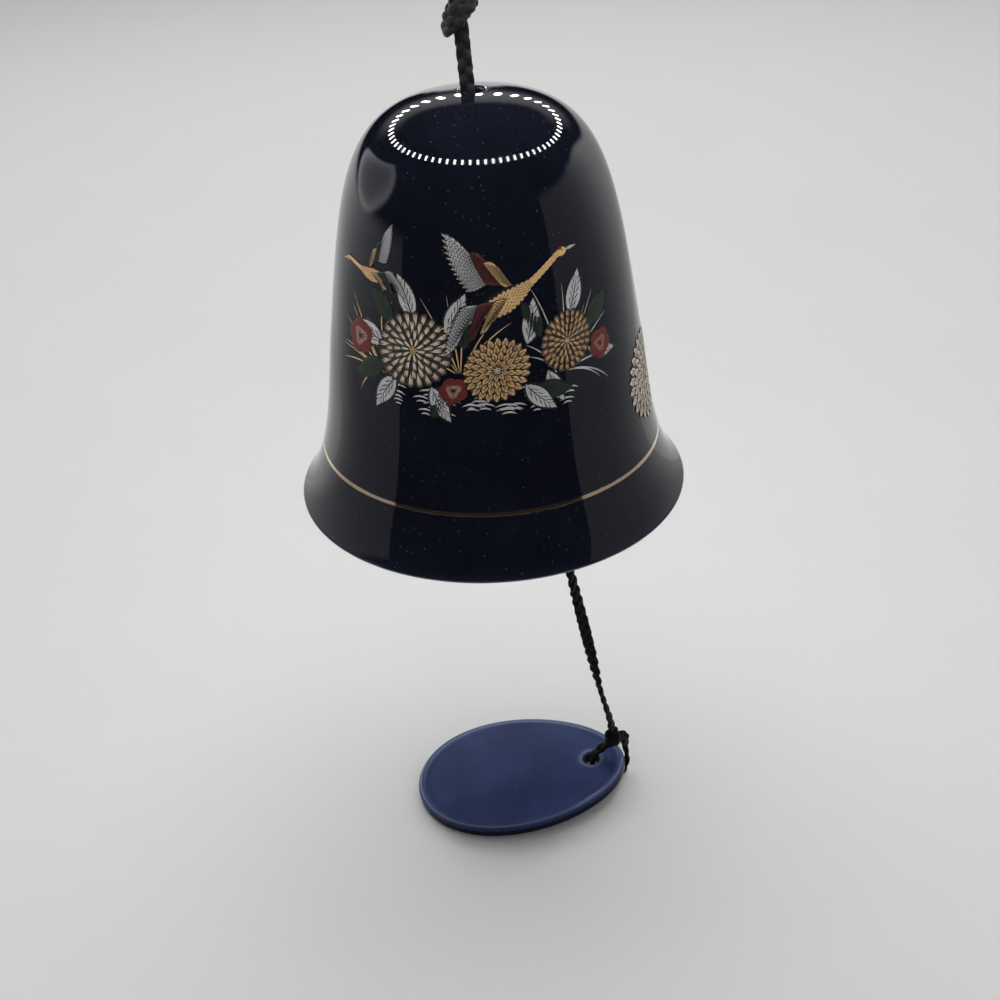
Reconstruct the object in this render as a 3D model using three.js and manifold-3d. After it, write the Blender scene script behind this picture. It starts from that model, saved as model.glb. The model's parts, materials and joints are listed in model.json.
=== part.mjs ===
// Ceramic wind bell: a flared porcelain bell on a plaited cord, with a clapper inside and an
// egg-shaped ceramic tag below that catches the wind.
// Millimetres, +Z up. The origin is where the hanging loop bears on its hook.

import * as THREE from 'three';
import { mergeVertices } from 'three/addons/utils/BufferGeometryUtils.js';
import Module from 'manifold-3d';

// Bell shell
const RIM_DIAMETER = 90;
const BELL_HEIGHT = 89.3;
const BELL_WALL = 3.6;
const BODY_DIAMETER = 68.4;
const BODY_LEVEL = 39;
const BODY_TAPER = THREE.MathUtils.degToRad(9.5);
const RIM_SLOPE = THREE.MathUtils.degToRad(47.5);
const LIP_ROUND = 1;
const CROWN_SLOPE = THREE.MathUtils.degToRad(3);
const CROWN_EDGE_ROUND = 0.7;

// How far the bell's curves hold their end directions, as shares of the stretch they span
const RIM_HOLD = 0.3;
const FLARE_HOLD = 0.33;
const DOME_HOLD = 0.726;
const CROWN_HOLD = 0.76;

// Plaited flat cord
const CORD_WIDTH = 3;
const CORD_THICKNESS = 1.5;
const NECK_LENGTH = 8.1;
const CLAPPER_CORD_LENGTH = 50.1;
const TAG_CORD_LENGTH = 92;

// Hanging loop, centre line as x and z from the top knot over the hook and back
const LOOP_ROUTE = [
  [-1.2, -43.4], [-1.9, -38], [-4.2, -27], [-6.1, -16], [-6.3, -7.5], [-4.5, -1.6],
  [0, 0.75],
  [4.5, -1.6], [6.3, -7.5], [6.1, -16], [4.2, -27], [1.9, -38], [1.2, -43.4],
];

// Knots, with the strand that winds round each one
const KNOT_STRAND = 2.4;
const KNOT_TURNS = 1.6;
const KNOT_FULLNESS = 0.6;
const TOP_KNOT_WIDTH = 7.4;
const TOP_KNOT_HEIGHT = 9.5;
const STOP_KNOT_HEIGHT = 6.5;
const CLAPPER_KNOT_HEIGHT = 5.5;
const TAG_KNOT_WIDTH = 6;
const TAG_KNOT_HEIGHT = 5;

// Clapper bead
const CLAPPER_DIAMETER = 21;
const CLAPPER_HEIGHT = 18;
const BORE_EDGE = 1;

// Tag
const TAG_LENGTH = 58.4;
const TAG_WIDTH = 41.6;
const TAG_THICKNESS = 4;
const TAG_EDGE_ROUND = 1;
const TAG_BLUNTNESS = 0.11;
const TAG_HOLE_MARGIN = 9.3;
const HOLE_EDGE = 0.7;

// Rest pose: how far the cord leans above the crown, down to the clapper and down to the tag, and how
// the tag lies
const NECK_LEAN = THREE.MathUtils.degToRad(3);
const CLAPPER_LEAN = THREE.MathUtils.degToRad(9.37);
const TAG_LEAN = THREE.MathUtils.degToRad(10.25);
const TAG_YAW = THREE.MathUtils.degToRad(3.4);
const TAG_TILT = THREE.MathUtils.degToRad(4.15);

// Clearances: between touching pieces, where a cord bends at a knot, and round the cord in its holes
const FIT_GAP = 0.3;
const BEND_GAP = 0.8;
const CROWN_CLEARANCE = 1;
const BORE_CLEARANCE = 0.6;
const TAG_HOLE_CLEARANCE = 0.7;
const LOOP_SLACK = 0.3;

// How far a knot reaches past the hole that it stops in, how far the stop knot's neck goes up into the
// crown's hole, and how far to one side the cord bears in that hole and the tag's loop on its knot
const KNOT_OVERHANG = 1.5;
const STOP_RISE = 0.3;
const NECK_OFFSET = 0.85;
const LOOP_OFFSET = 1.75;

// Facets, and how near two points are one
const WELD = 1e-4;
const BELL_SIDES = 56;
const FLARE_STEPS = 8;
const DOME_STEPS = 12;
const ROUND_STEPS = 3;
const CORD_SIDES = 8;
const CORD_STEP = 2.5 * CORD_WIDTH;
const KNOT_ROWS = 12;
const BEAD_SIDES = 32;
const BEAD_STEPS = 14;
const TAG_SIDES = 56;
const HOLE_SIDES = 20;
const LOOP_SIDES = 32;

// Sizes that follow from the ones above
const crownHole = CORD_WIDTH / 2 + CROWN_CLEARANCE;
const clapperBore = CORD_WIDTH / 2 + BORE_CLEARANCE;
const tagHole = CORD_WIDTH / 2 + TAG_HOLE_CLEARANCE;
const stopKnotWidth = 2 * (crownHole + KNOT_OVERHANG);
const clapperKnotWidth = 2 * (clapperBore + KNOT_OVERHANG);

// The tag's bridge is the stretch between its hole and its tip, which the cord's lower loop goes round
const bridgeHalf = (TAG_HOLE_MARGIN - tagHole) / 2;
const tagLoopRadius = Math.hypot(bridgeHalf, TAG_THICKNESS / 2) + CORD_THICKNESS / 2 + LOOP_SLACK;

// Distances along the upper cord, from the hook down to the crown's top
const loopEnd = -LOOP_ROUTE[0][1];
const topKnotTop = loopEnd + BEND_GAP;
const neckTop = topKnotTop + TOP_KNOT_HEIGHT + BEND_GAP;
const crownReach = neckTop + NECK_LENGTH;

// The bell's axis, and heights from the hook down to the clapper's pivot
const bellAxis = crownReach * Math.sin(NECK_LEAN) + NECK_OFFSET;
const crownTop = -crownReach * Math.cos(NECK_LEAN);
const rimLevel = crownTop - BELL_HEIGHT;
const stopKnotTop = crownTop - BELL_WALL + STOP_RISE;
const neckBottom = -(stopKnotTop + FIT_GAP) / Math.cos(NECK_LEAN);
const pivotLevel = stopKnotTop - STOP_KNOT_HEIGHT - BEND_GAP / 2;

// Distances along the clapper's cord, from its pivot down to the tag cord's pivot
const clapperTop = CLAPPER_CORD_LENGTH;
const clapperKnotTop = clapperTop + CLAPPER_HEIGHT + FIT_GAP;
const tagPivot = clapperKnotTop + CLAPPER_KNOT_HEIGHT + BEND_GAP / 2;

// Distances along the tag's cord, from its pivot down to the middle of the tag's loop
const tagCordTop = BEND_GAP / 2;
const tagKnotTop = tagCordTop + TAG_CORD_LENGTH + FIT_GAP;
const tagLoopMiddle = tagKnotTop + TAG_KNOT_HEIGHT + FIT_GAP + CORD_THICKNESS / 2 + tagLoopRadius;

const wasm = await Module();
wasm.setup();

const bellGlaze = new THREE.MeshStandardMaterial({ color: 0x0c0e1e, roughness: 0.06, metalness: 0 });
const clapperGlaze = new THREE.MeshStandardMaterial({ color: 0x202a5a, roughness: 0.08, metalness: 0 });
const tagGlaze = new THREE.MeshStandardMaterial({ color: 0x2f3c78, roughness: 0.1, metalness: 0 });
const blackPlait = new THREE.MeshStandardMaterial({ color: 0x1a191b, roughness: 0.85, metalness: 0 });

// Closed mesh to solid, for joining and cutting
function toSolid(geometry) {
  const bare = geometry.clone();
  bare.deleteAttribute('normal');
  bare.deleteAttribute('uv');
  const merged = mergeVertices(bare, WELD);
  return new wasm.Manifold(new wasm.Mesh({
    numProp: 3,
    vertProperties: new Float32Array(merged.attributes.position.array),
    triVerts: new Uint32Array(merged.index.array),
  }));
}

function toGeometry(solid) {
  const mesh = solid.getMesh();
  const geometry = new THREE.BufferGeometry();
  geometry.setAttribute('position', new THREE.BufferAttribute(new Float32Array(mesh.vertProperties), 3));
  geometry.setIndex(new THREE.BufferAttribute(new Uint32Array(mesh.triVerts), 1));
  geometry.computeVertexNormals();
  return geometry;
}

// Closed profile of [radius, height] points turned about the Z axis
function turned(profile, sides) {
  const points = [...profile, profile[0]].map(([radius, height]) => new THREE.Vector2(radius, height));
  return new THREE.LatheGeometry(points, sides).rotateX(Math.PI / 2);
}

// Quarter-round of points about a centre, from one angle to the other
function roundEdge(radius, height, size, from, to) {
  const arc = new THREE.EllipseCurve(radius, height, size, size, from, to, from > to);
  return arc.getPoints(ROUND_STEPS).map((point) => [point.x, point.y]);
}

function mesh(name, geometry, material, height = 0) {
  const piece = new THREE.Mesh(geometry, material);
  piece.name = name;
  piece.position.z = height;
  return piece;
}

// Bell: the outer line rises from the rim through the flare to the body, and over the dome to the
// crown's hole. The inner line is the same line moved in by the wall.
function bellShell() {
  const rim = RIM_DIAMETER / 2;
  const body = new THREE.Vector2(BODY_DIAMETER / 2, BODY_LEVEL);
  const crownEdge = new THREE.Vector2(crownHole + CROWN_EDGE_ROUND, BELL_HEIGHT);
  const rise = new THREE.Vector2(-Math.sin(BODY_TAPER), Math.cos(BODY_TAPER));
  const leave = new THREE.Vector2(-Math.cos(RIM_SLOPE), Math.sin(RIM_SLOPE));
  const fall = new THREE.Vector2(Math.cos(CROWN_SLOPE), -Math.sin(CROWN_SLOPE));
  const lip = new THREE.Vector2(rim, LIP_ROUND);
  const flare = new THREE.CubicBezierCurve(
    lip,
    lip.clone().addScaledVector(leave, RIM_HOLD * BODY_LEVEL),
    body.clone().addScaledVector(rise, -FLARE_HOLD * BODY_LEVEL),
    body,
  );
  const dome = new THREE.CubicBezierCurve(
    body,
    body.clone().addScaledVector(rise, DOME_HOLD * (BELL_HEIGHT - BODY_LEVEL)),
    crownEdge.clone().addScaledVector(fall, CROWN_HOLD * (body.x - crownEdge.x)),
    crownEdge,
  );
  const outer = [];
  const inner = [];
  for (const [curve, steps, first] of [[flare, FLARE_STEPS, 0], [dome, DOME_STEPS, 1]]) {
    for (let step = first; step <= steps; step += 1) {
      const point = curve.getPoint(step / steps);
      const along = curve.getTangent(step / steps);
      outer.push([point.x, point.y]);
      inner.push([point.x - along.y * BELL_WALL, point.y + along.x * BELL_WALL]);
    }
  }
  const insideLip = inner.findIndex(([, height]) => height > LIP_ROUND);
  const [innerRadius, innerHeight] = inner[insideLip];
  const slope = (inner[insideLip + 1][0] - innerRadius) / (inner[insideLip + 1][1] - innerHeight);
  const lipInside = innerRadius - slope * innerHeight;
  return turned([
    ...roundEdge(rim - LIP_ROUND, LIP_ROUND, LIP_ROUND, -Math.PI / 2, 0).slice(0, -1),
    ...outer,
    ...roundEdge(crownEdge.x, BELL_HEIGHT - CROWN_EDGE_ROUND, CROWN_EDGE_ROUND, Math.PI / 2, Math.PI).slice(1),
    [crownHole, BELL_HEIGHT - BELL_WALL],
    ...inner.slice(insideLip).reverse(),
    [lipInside, 0],
  ], BELL_SIDES);
}

// Flat section of the plait, wide side along X
function cordSection() {
  const outline = new THREE.EllipseCurve(0, 0, CORD_WIDTH / 2, CORD_THICKNESS / 2, 0, 2 * Math.PI);
  return new THREE.Shape(outline.getPoints(CORD_SIDES).slice(0, -1));
}

// Straight length of plait that hangs down from its own origin
function straightCord(length) {
  const steps = Math.ceil(length / CORD_STEP);
  const geometry = new THREE.ExtrudeGeometry(cordSection(), { depth: length, steps, bevelEnabled: false });
  return geometry.translate(0, 0, -length);
}

// Hanging loop: the plait runs up one leg, over the hook and down the other, wide side along Y
function hangingLoop() {
  const route = LOOP_ROUTE.map(([x, z]) => new THREE.Vector3(x, 0, z));
  const extrudePath = new THREE.CatmullRomCurve3(route);
  const steps = Math.ceil(extrudePath.getLength() / (CORD_STEP / 2));
  return new THREE.ExtrudeGeometry(cordSection(), { extrudePath, steps, bevelEnabled: false });
}

// Knot that hangs down from its own origin: a barrel, flat at both ends where the cord goes on, that
// swells by half a strand along the line where the strand winds round it
function knot(width, height) {
  const end = CORD_WIDTH / 2;
  const swell = KNOT_STRAND / 2;
  const core = width / 2 - swell;
  const fullness = (share) => Math.sin(Math.PI * share) ** KNOT_FULLNESS;
  const profile = [new THREE.Vector2(0, -height), new THREE.Vector2(end, -height)];
  for (let row = KNOT_ROWS - 1; row > 0; row -= 1) {
    const share = row / KNOT_ROWS;
    profile.push(new THREE.Vector2(end + (core - end) * fullness(share), -height * share));
  }
  profile.push(new THREE.Vector2(end, 0), new THREE.Vector2(0, 0));
  const geometry = new THREE.LatheGeometry(profile, 2 * CORD_SIDES).rotateX(Math.PI / 2);
  const positions = geometry.attributes.position;
  for (let index = 0; index < positions.count; index += 1) {
    const share = -positions.getZ(index) / height;
    if (share > WELD && share < 1 - WELD) {
      const x = positions.getX(index);
      const y = positions.getY(index);
      const wind = Math.cos(Math.atan2(y, x) - 2 * Math.PI * KNOT_TURNS * share);
      const stretch = 1 + swell * fullness(share) * (1 + wind) / 2 / Math.hypot(x, y);
      positions.setXY(index, x * stretch, y * stretch);
    }
  }
  geometry.computeVertexNormals();
  return geometry;
}

// Clapper bead that hangs down from its own origin, with a rounded bore
function clapperBead() {
  const radius = CLAPPER_DIAMETER / 2;
  const half = CLAPPER_HEIGHT / 2;
  const mouth = clapperBore + BORE_EDGE;
  const end = Math.acos(mouth / radius);
  const belly = new THREE.EllipseCurve(0, 0, radius, half / Math.sin(end), -end, end);
  return turned([
    ...belly.getPoints(BEAD_STEPS).map((point) => [point.x, point.y]),
    [clapperBore, half - BORE_EDGE],
    [clapperBore, BORE_EDGE - half],
  ], BEAD_SIDES).translate(0, 0, -half);
}

// Tag: an egg outline with a rounded edge, blunt end towards -X, pierced near its tip. Its own origin
// is the middle of the bridge between the hole and the tip.
function tagPlate() {
  const egg = [];
  for (let side = 0; side < TAG_SIDES; side += 1) {
    const angle = 2 * Math.PI * side / TAG_SIDES;
    const swell = 1 - TAG_BLUNTNESS * Math.cos(angle);
    egg.push(new THREE.Vector2(TAG_LENGTH / 2 * Math.cos(angle), TAG_WIDTH / 2 * Math.sin(angle) * swell));
  }
  const plate = new THREE.ExtrudeGeometry(new THREE.Shape(egg), {
    depth: TAG_THICKNESS - 2 * TAG_EDGE_ROUND,
    bevelThickness: TAG_EDGE_ROUND,
    bevelSize: TAG_EDGE_ROUND,
    bevelOffset: -TAG_EDGE_ROUND,
    bevelSegments: ROUND_STEPS,
  }).translate(0, 0, TAG_EDGE_ROUND - TAG_THICKNESS / 2);
  const half = TAG_THICKNESS / 2;
  const reach = half + HOLE_EDGE;
  const cutter = turned([
    [0, -reach], [tagHole + 2 * HOLE_EDGE, -reach], [tagHole, HOLE_EDGE - half],
    [tagHole, half - HOLE_EDGE], [tagHole + 2 * HOLE_EDGE, reach], [0, reach],
  ], HOLE_SIDES).translate(TAG_LENGTH / 2 - TAG_HOLE_MARGIN, 0, 0);
  const pierced = toGeometry(toSolid(plate).subtract(toSolid(cutter)));
  return pierced.translate(bridgeHalf - TAG_LENGTH / 2, 0, 0);
}

// Lower loop: a ring of plait about the Y axis, round the tag's bridge
function tagLoop() {
  const section = new THREE.EllipseCurve(
    tagLoopRadius, 0, CORD_THICKNESS / 2, CORD_WIDTH / 2, 0, 2 * Math.PI,
  );
  return new THREE.LatheGeometry(section.getPoints(CORD_SIDES), LOOP_SIDES);
}

const windBell = new THREE.Group();

// The cord above the bell's crown leans towards +X on its way down from the hook
const upperCord = new THREE.Group();
upperCord.rotation.y = -NECK_LEAN;
upperCord.add(
  mesh('hanging_loop', hangingLoop(), blackPlait),
  mesh('top_knot', knot(TOP_KNOT_WIDTH, TOP_KNOT_HEIGHT), blackPlait, -topKnotTop),
  mesh('neck_cord', straightCord(neckBottom - neckTop), blackPlait, -neckTop),
);
windBell.add(upperCord);

// The bell hangs plumb, with all that is below its crown
const hangingBell = new THREE.Group();
hangingBell.position.x = bellAxis;
hangingBell.add(
  mesh('bell', bellShell(), bellGlaze, rimLevel),
  mesh('stop_knot', knot(stopKnotWidth, STOP_KNOT_HEIGHT), blackPlait, stopKnotTop),
);
windBell.add(hangingBell);

// The clapper's cord leans towards +X too
const clapperLine = new THREE.Group();
clapperLine.position.z = pivotLevel;
clapperLine.rotation.y = -CLAPPER_LEAN;
clapperLine.add(
  mesh('clapper_cord', straightCord(clapperKnotTop - FIT_GAP - BEND_GAP / 2), blackPlait, -BEND_GAP / 2),
  mesh('clapper', clapperBead(), clapperGlaze, -clapperTop),
  mesh('clapper_knot', knot(clapperKnotWidth, CLAPPER_KNOT_HEIGHT), blackPlait, -clapperKnotTop),
);
hangingBell.add(clapperLine);

// The tag's cord goes on from the clapper's knot and leans a little more
const tagLine = new THREE.Group();
tagLine.position.z = -tagPivot;
tagLine.rotation.y = CLAPPER_LEAN - TAG_LEAN;
tagLine.add(
  mesh('tag_cord', straightCord(TAG_CORD_LENGTH), blackPlait, -tagCordTop),
  mesh('tag_knot', knot(TAG_KNOT_WIDTH, TAG_KNOT_HEIGHT), blackPlait, -tagKnotTop),
);
clapperLine.add(tagLine);

// The tag and the loop round its bridge lie at the end of the cord
const lyingTag = new THREE.Group();
lyingTag.position.set(
  tagPivot * Math.sin(CLAPPER_LEAN) + tagLoopMiddle * Math.sin(TAG_LEAN) - LOOP_OFFSET,
  0,
  pivotLevel - tagPivot * Math.cos(CLAPPER_LEAN) - tagLoopMiddle * Math.cos(TAG_LEAN),
);
lyingTag.rotation.set(0, -TAG_TILT, TAG_YAW, 'ZYX');
lyingTag.add(
  mesh('tag_loop', tagLoop(), blackPlait),
  mesh('tag', tagPlate(), tagGlaze),
);
hangingBell.add(lyingTag);

export default windBell;
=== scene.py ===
"""Looks for a ceramic wind bell: a flared glazed bell with a gilt line and printed flowers and cranes,
a bead clapper inside it, black plaited cord with its knots, and an egg-shaped glazed tag."""

import json
import math

import bpy
import bmesh
import numpy as np
from bpy.props import FloatProperty, FloatVectorProperty, PointerProperty
from mathutils import Matrix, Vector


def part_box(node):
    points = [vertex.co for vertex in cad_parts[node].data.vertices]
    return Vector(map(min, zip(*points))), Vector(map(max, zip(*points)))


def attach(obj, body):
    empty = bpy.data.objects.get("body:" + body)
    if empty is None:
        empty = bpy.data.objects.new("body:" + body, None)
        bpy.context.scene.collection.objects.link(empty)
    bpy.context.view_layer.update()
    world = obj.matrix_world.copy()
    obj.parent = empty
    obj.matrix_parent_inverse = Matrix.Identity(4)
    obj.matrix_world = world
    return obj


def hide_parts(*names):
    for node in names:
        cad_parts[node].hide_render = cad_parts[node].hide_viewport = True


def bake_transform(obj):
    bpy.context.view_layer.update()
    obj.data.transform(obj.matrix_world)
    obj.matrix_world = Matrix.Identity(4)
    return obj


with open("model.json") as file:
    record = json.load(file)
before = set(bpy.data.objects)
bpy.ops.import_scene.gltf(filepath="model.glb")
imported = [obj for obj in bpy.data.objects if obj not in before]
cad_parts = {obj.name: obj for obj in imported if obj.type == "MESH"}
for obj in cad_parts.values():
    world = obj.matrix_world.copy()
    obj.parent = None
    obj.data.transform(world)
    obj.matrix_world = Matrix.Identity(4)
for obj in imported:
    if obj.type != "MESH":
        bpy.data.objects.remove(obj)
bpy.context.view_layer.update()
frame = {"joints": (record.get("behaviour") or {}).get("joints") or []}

bl_info = {
    "name": "Ceramic Wind Bell",
    "version": (1, 0, 0),
    "blender": (4, 5, 0),
    "location": "View3D > Sidebar > Wind Bell",
    "description": "Glazed shell, printed decoration, plaited cords, knots, clapper and tag of a wind bell",
    "category": "Add Mesh",
}

MM = 0.001
MERGED = 1e-8
UP = np.array([0.0, 0.0, 1.0])

# Places read from the frame: the bell's axis and levels, the pivots, and the two cords' directions
BELL_LOW, BELL_HIGH = (np.array(corner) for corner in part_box("bell"))
AXIS = np.array([(BELL_LOW[0] + BELL_HIGH[0]) / 2, 0.0, BELL_LOW[2]])
PLACES = {joint["name"]: np.array(joint["pos_m"]) for joint in frame["joints"]}
AXES = {joint["name"]: np.array(joint["axis"]) for joint in frame["joints"]}
HOOK = np.zeros(3)
NECK_DOWN = PLACES["bell_swing_side"] / np.linalg.norm(PLACES["bell_swing_side"])
PIVOT, CORD_DOWN = PLACES["clapper_swing"], AXES["clapper_spin"]
TAG_PIVOT, TAG_DOWN = PLACES["tag_line_swing"], AXES["tag_turn"]
TAG_MIDDLE, TAG_SIDE = PLACES["tag_tilt"], AXES["tag_tilt"]
TAG_TILT = math.radians(4.15)

# Bell's wall, and distances along the upper cord from the hook, below the crown's underside, along the
# clapper's cord from its pivot, and along the tag's cord from its own
WALL = 3.6 * MM
TOP_KNOT = (42.9 * MM, 52.4 * MM)
NECK = (48.8 * MM, 66.2 * MM)
STOP_KNOT = (-0.3 * MM, 6.2 * MM)
CLAPPER_CORD = (-3.5 * MM, 68.1 * MM)
CLAPPER_TOP = 50.1 * MM
CLAPPER_KNOT = (68.4 * MM, 73.9 * MM)
TAG_CORD = (-3.0 * MM, 92.4 * MM)
TAG_KNOT = (92.7 * MM, 97.7 * MM)

# Centre lines of the hanging loop, as x and z down the upper cord, and of the lower loop, as distances
# along, behind and above the middle of the tag's bridge
LOOP_ROUTE = np.array([
    (-1.15, -47.8), (-1.25, -43.4), (-1.9, -38), (-4.2, -27), (-6.1, -16), (-6.3, -7.5), (-4.5, -1.6),
    (0, 0.75), (4.5, -1.6), (6.3, -7.5), (6.1, -16), (4.2, -27), (1.9, -38), (1.25, -43.4), (1.15, -46.6),
]) * MM
TAG_LOOP_ROUTE = np.array([
    (1.0, 0.2, 7.4), (2.4, 0.9, 8.1), (3.5, 1.7, 7.2), (4.1, 2.3, 4.8), (4.4, 2.4, 2.0), (4.6, 1.8, -0.6),
    (4.2, 0.8, -2.7), (2.8, 0.2, -4.45), (0, 0, -5.0), (-3.4, 0, -4.1), (-5.3, 0, -1.3), (-5.3, 0, 1.8),
    (-3.2, 0, 4.8), (-0.6, 0.1, 6.5), (0.9, 0.2, 7.6),
]) * MM

# Camera of the photograph, from the bell's rim centre
CAMERA_PLACE = np.array([1.25, -245.73, 148.06]) * MM
CAMERA_PITCH = math.radians(32.379)
CAMERA_ROLL = math.radians(-3.033)
CAMERA_SENSOR = 36.0
CAMERA_NEAREST = 5 * MM


def unit(vectors):
    """Vectors scaled to length one."""
    return vectors / np.linalg.norm(vectors, axis=-1, keepdims=True)


def ease(low, high, values):
    """Smooth step from 0 at low to 1 at high: three t squared minus two t cubed."""
    share = np.clip((values - low) / (high - low), 0, 1)
    return share * share * (3 - 2 * share)


def bump(values, middle, width):
    """Bell curve: one in the middle, falling by the square of the distance over the width."""
    return np.exp(-((values - middle) / width) ** 2)


def swell(values, size, middle, width):
    """Bell curve that is as high as its size."""
    return size * bump(values, middle, width)


def circle(count):
    """Angles of a full turn in even steps."""
    return np.linspace(0, math.tau, count, endpoint=False)


def step_lengths(path):
    """Lengths of the steps between a path's points."""
    return np.linalg.norm(np.diff(path, axis=0), axis=1)


def beside(down):
    """Direction to the right, square to a cord's line that runs down."""
    return unit(np.array([-down[2], 0.0, down[0]]))


def square(across, along):
    """Directions made square to a path's run, of length one."""
    return unit(across - (across * along).sum(axis=1, keepdims=True) * along)


def grid(points, wrap_rows=False, wrap_columns=False):
    """Quads over an array of points with rows and columns. A wrapped side joins its last line to its
    first. Gives the vertices, the corners of each quad and each corner's place in the grid from 0 to 1."""
    rows, columns = points.shape[:2]
    row, column = np.meshgrid(
        np.arange(rows if wrap_rows else rows - 1),
        np.arange(columns if wrap_columns else columns - 1),
        indexing="ij",
    )
    corner_rows = np.stack([row, row, row + 1, row + 1], axis=-1).reshape(-1, 4)
    corner_columns = np.stack([column, column + 1, column + 1, column], axis=-1).reshape(-1, 4)
    quads = (corner_rows % rows) * columns + corner_columns % columns
    places = np.stack([corner_columns / columns, corner_rows / rows], axis=-1)
    return points.reshape(-1, 3), quads, places


def joined(patches):
    """Several patches as one set of vertices, quads and corner places."""
    starts = np.cumsum([0] + [len(patch[0]) for patch in patches[:-1]])
    return (
        np.concatenate([patch[0] for patch in patches]),
        np.concatenate([patch[1] + start for patch, start in zip(patches, starts)]),
        np.concatenate([patch[2] for patch in patches]),
    )


def repeated(points):
    """Many like tubes at once, from an array of them: each is a grid whose columns wrap."""
    vertices, quads, places = grid(points[0], wrap_columns=True)
    starts = np.arange(len(points))[:, None, None] * len(vertices)
    return points.reshape(-1, 3), (quads + starts).reshape(-1, 4), np.tile(places, (len(points), 1, 1))


def piece(name, patch, materials, face_material=None, share=None):
    """Mesh object from a patch. share, where given, is a number at each vertex for the material to read.
    Doubled points at poles are merged and faces that point inwards are turned."""
    vertices, quads, places = patch
    mesh = bpy.data.meshes.new(name)
    mesh.vertices.add(len(vertices))
    mesh.vertices.foreach_set("co", vertices.astype(np.float32).ravel())
    mesh.loops.add(quads.size)
    mesh.loops.foreach_set("vertex_index", quads.astype(np.int32).ravel())
    mesh.polygons.add(len(quads))
    mesh.polygons.foreach_set("loop_start", np.arange(0, quads.size, 4, dtype=np.int32))
    mesh.polygons.foreach_set("use_smooth", np.ones(len(quads), dtype=bool))
    if face_material is not None:
        mesh.polygons.foreach_set("material_index", face_material.astype(np.int32))
    uv_map = mesh.uv_layers.new(name="UVMap")
    uv_map.data.foreach_set("uv", places.astype(np.float32).ravel())
    if share is not None:
        layer = mesh.attributes.new("share", "FLOAT", "POINT")
        layer.data.foreach_set("value", share.astype(np.float32).ravel())
    for material in materials:
        mesh.materials.append(material)
    mesh.update(calc_edges=True)
    tidy = bmesh.new()
    tidy.from_mesh(mesh)
    bmesh.ops.remove_doubles(tidy, verts=tidy.verts, dist=MERGED)
    bmesh.ops.recalc_face_normals(tidy, faces=tidy.faces)
    tidy.to_mesh(mesh)
    tidy.free()
    mesh.update()
    made = bpy.data.objects.new(name, mesh)
    bpy.context.scene.collection.objects.link(made)
    return made


def dress(made, body, slot, *nodes):
    """Lets a piece ride on a body and stand for CAD nodes, which it hides. The slot is not used."""
    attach(made, body)
    if nodes:
        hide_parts(*nodes)
    return made


def bent(made, node):
    """Fixes a cord's placement into its mesh and hides the CAD node that it stands for."""
    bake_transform(made)
    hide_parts(node)


class Finish:
    """Nodes of a material, made by its name, or of the room, and the links between them."""

    def __init__(self, owner, shader="Principled BSDF", **constants):
        self.owner = bpy.data.materials.new(owner) if isinstance(owner, str) else owner
        self.owner.use_nodes = True
        self.nodes = self.owner.node_tree.nodes
        self.shader = self.nodes[shader]
        for socket, value in constants.items():
            self.feed(self.shader, socket, value)

    def put(self, slot, value):
        """Sets a socket, or links it from another node's output."""
        if isinstance(value, bpy.types.NodeSocket):
            self.owner.node_tree.links.new(value, slot)
        else:
            slot.default_value = value

    def feed(self, node, socket, value):
        """Puts a value in the socket of a name, written with underscores or spaces."""
        name = socket.replace("_", " ")
        self.put(next(slot for slot in node.inputs if slot.name == name and slot.enabled), value)

    def add(self, kind, *values, **settings):
        """Adds a node. Values go to its sockets in order, and a setting to the node's own property of that
        name or else to the socket."""
        node = self.nodes.new("ShaderNode" + kind)
        for name, value in settings.items():
            if hasattr(node, name):
                setattr(node, name, value)
            else:
                self.feed(node, name, value)
        for slot, value in zip([slot for slot in node.inputs if slot.enabled], values):
            self.put(slot, value)
        return node

    def coordinates(self, kind="Object"):
        """Place on the piece, or in its UV map."""
        return self.add("TexCoord").outputs[kind]

    def share(self):
        """The number that each vertex carries."""
        return self.add("Attribute", attribute_name="share").outputs["Fac"]

    def combine(self, operation, first, second):
        """Result of an operation on two numbers."""
        return self.add("Math", first, second, operation=operation).outputs["Value"]

    def blend(self, share, first, second, how="MIX"):
        """Colour between two others."""
        return self.add("Mix", share, first, second, data_type="RGBA", blend_type=how).outputs[2]

    def span(self, value, low, high, to_low, to_high):
        """Value mapped from one range to another."""
        return self.add("MapRange", value, low, high, to_low, to_high).outputs["Result"]

    def noise(self, where, scale, detail=3.0):
        """Soft noise, about 0.3 to 0.7."""
        return self.add("TexNoise", Vector=where, Scale=scale, Detail=detail).outputs["Fac"]

    def surface(self, shader):
        """Makes a shader the material's surface."""
        self.feed(self.nodes["Material Output"], "Surface", shader)
        return self.owner

    def done(self, colour, roughness, height, strength, distance):
        """Links colour, roughness and relief into the shader."""
        relief = self.add("Bump", Strength=strength, Distance=distance, Height=height).outputs["Normal"]
        for socket, value in (("Base Color", colour), ("Roughness", roughness), ("Normal", relief)):
            self.feed(self.shader, socket, value)
        return self.owner


def rgba(colour, share=1.0):
    """Colour times a share, with full opacity."""
    return (*(share * part for part in colour), 1.0)


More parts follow.
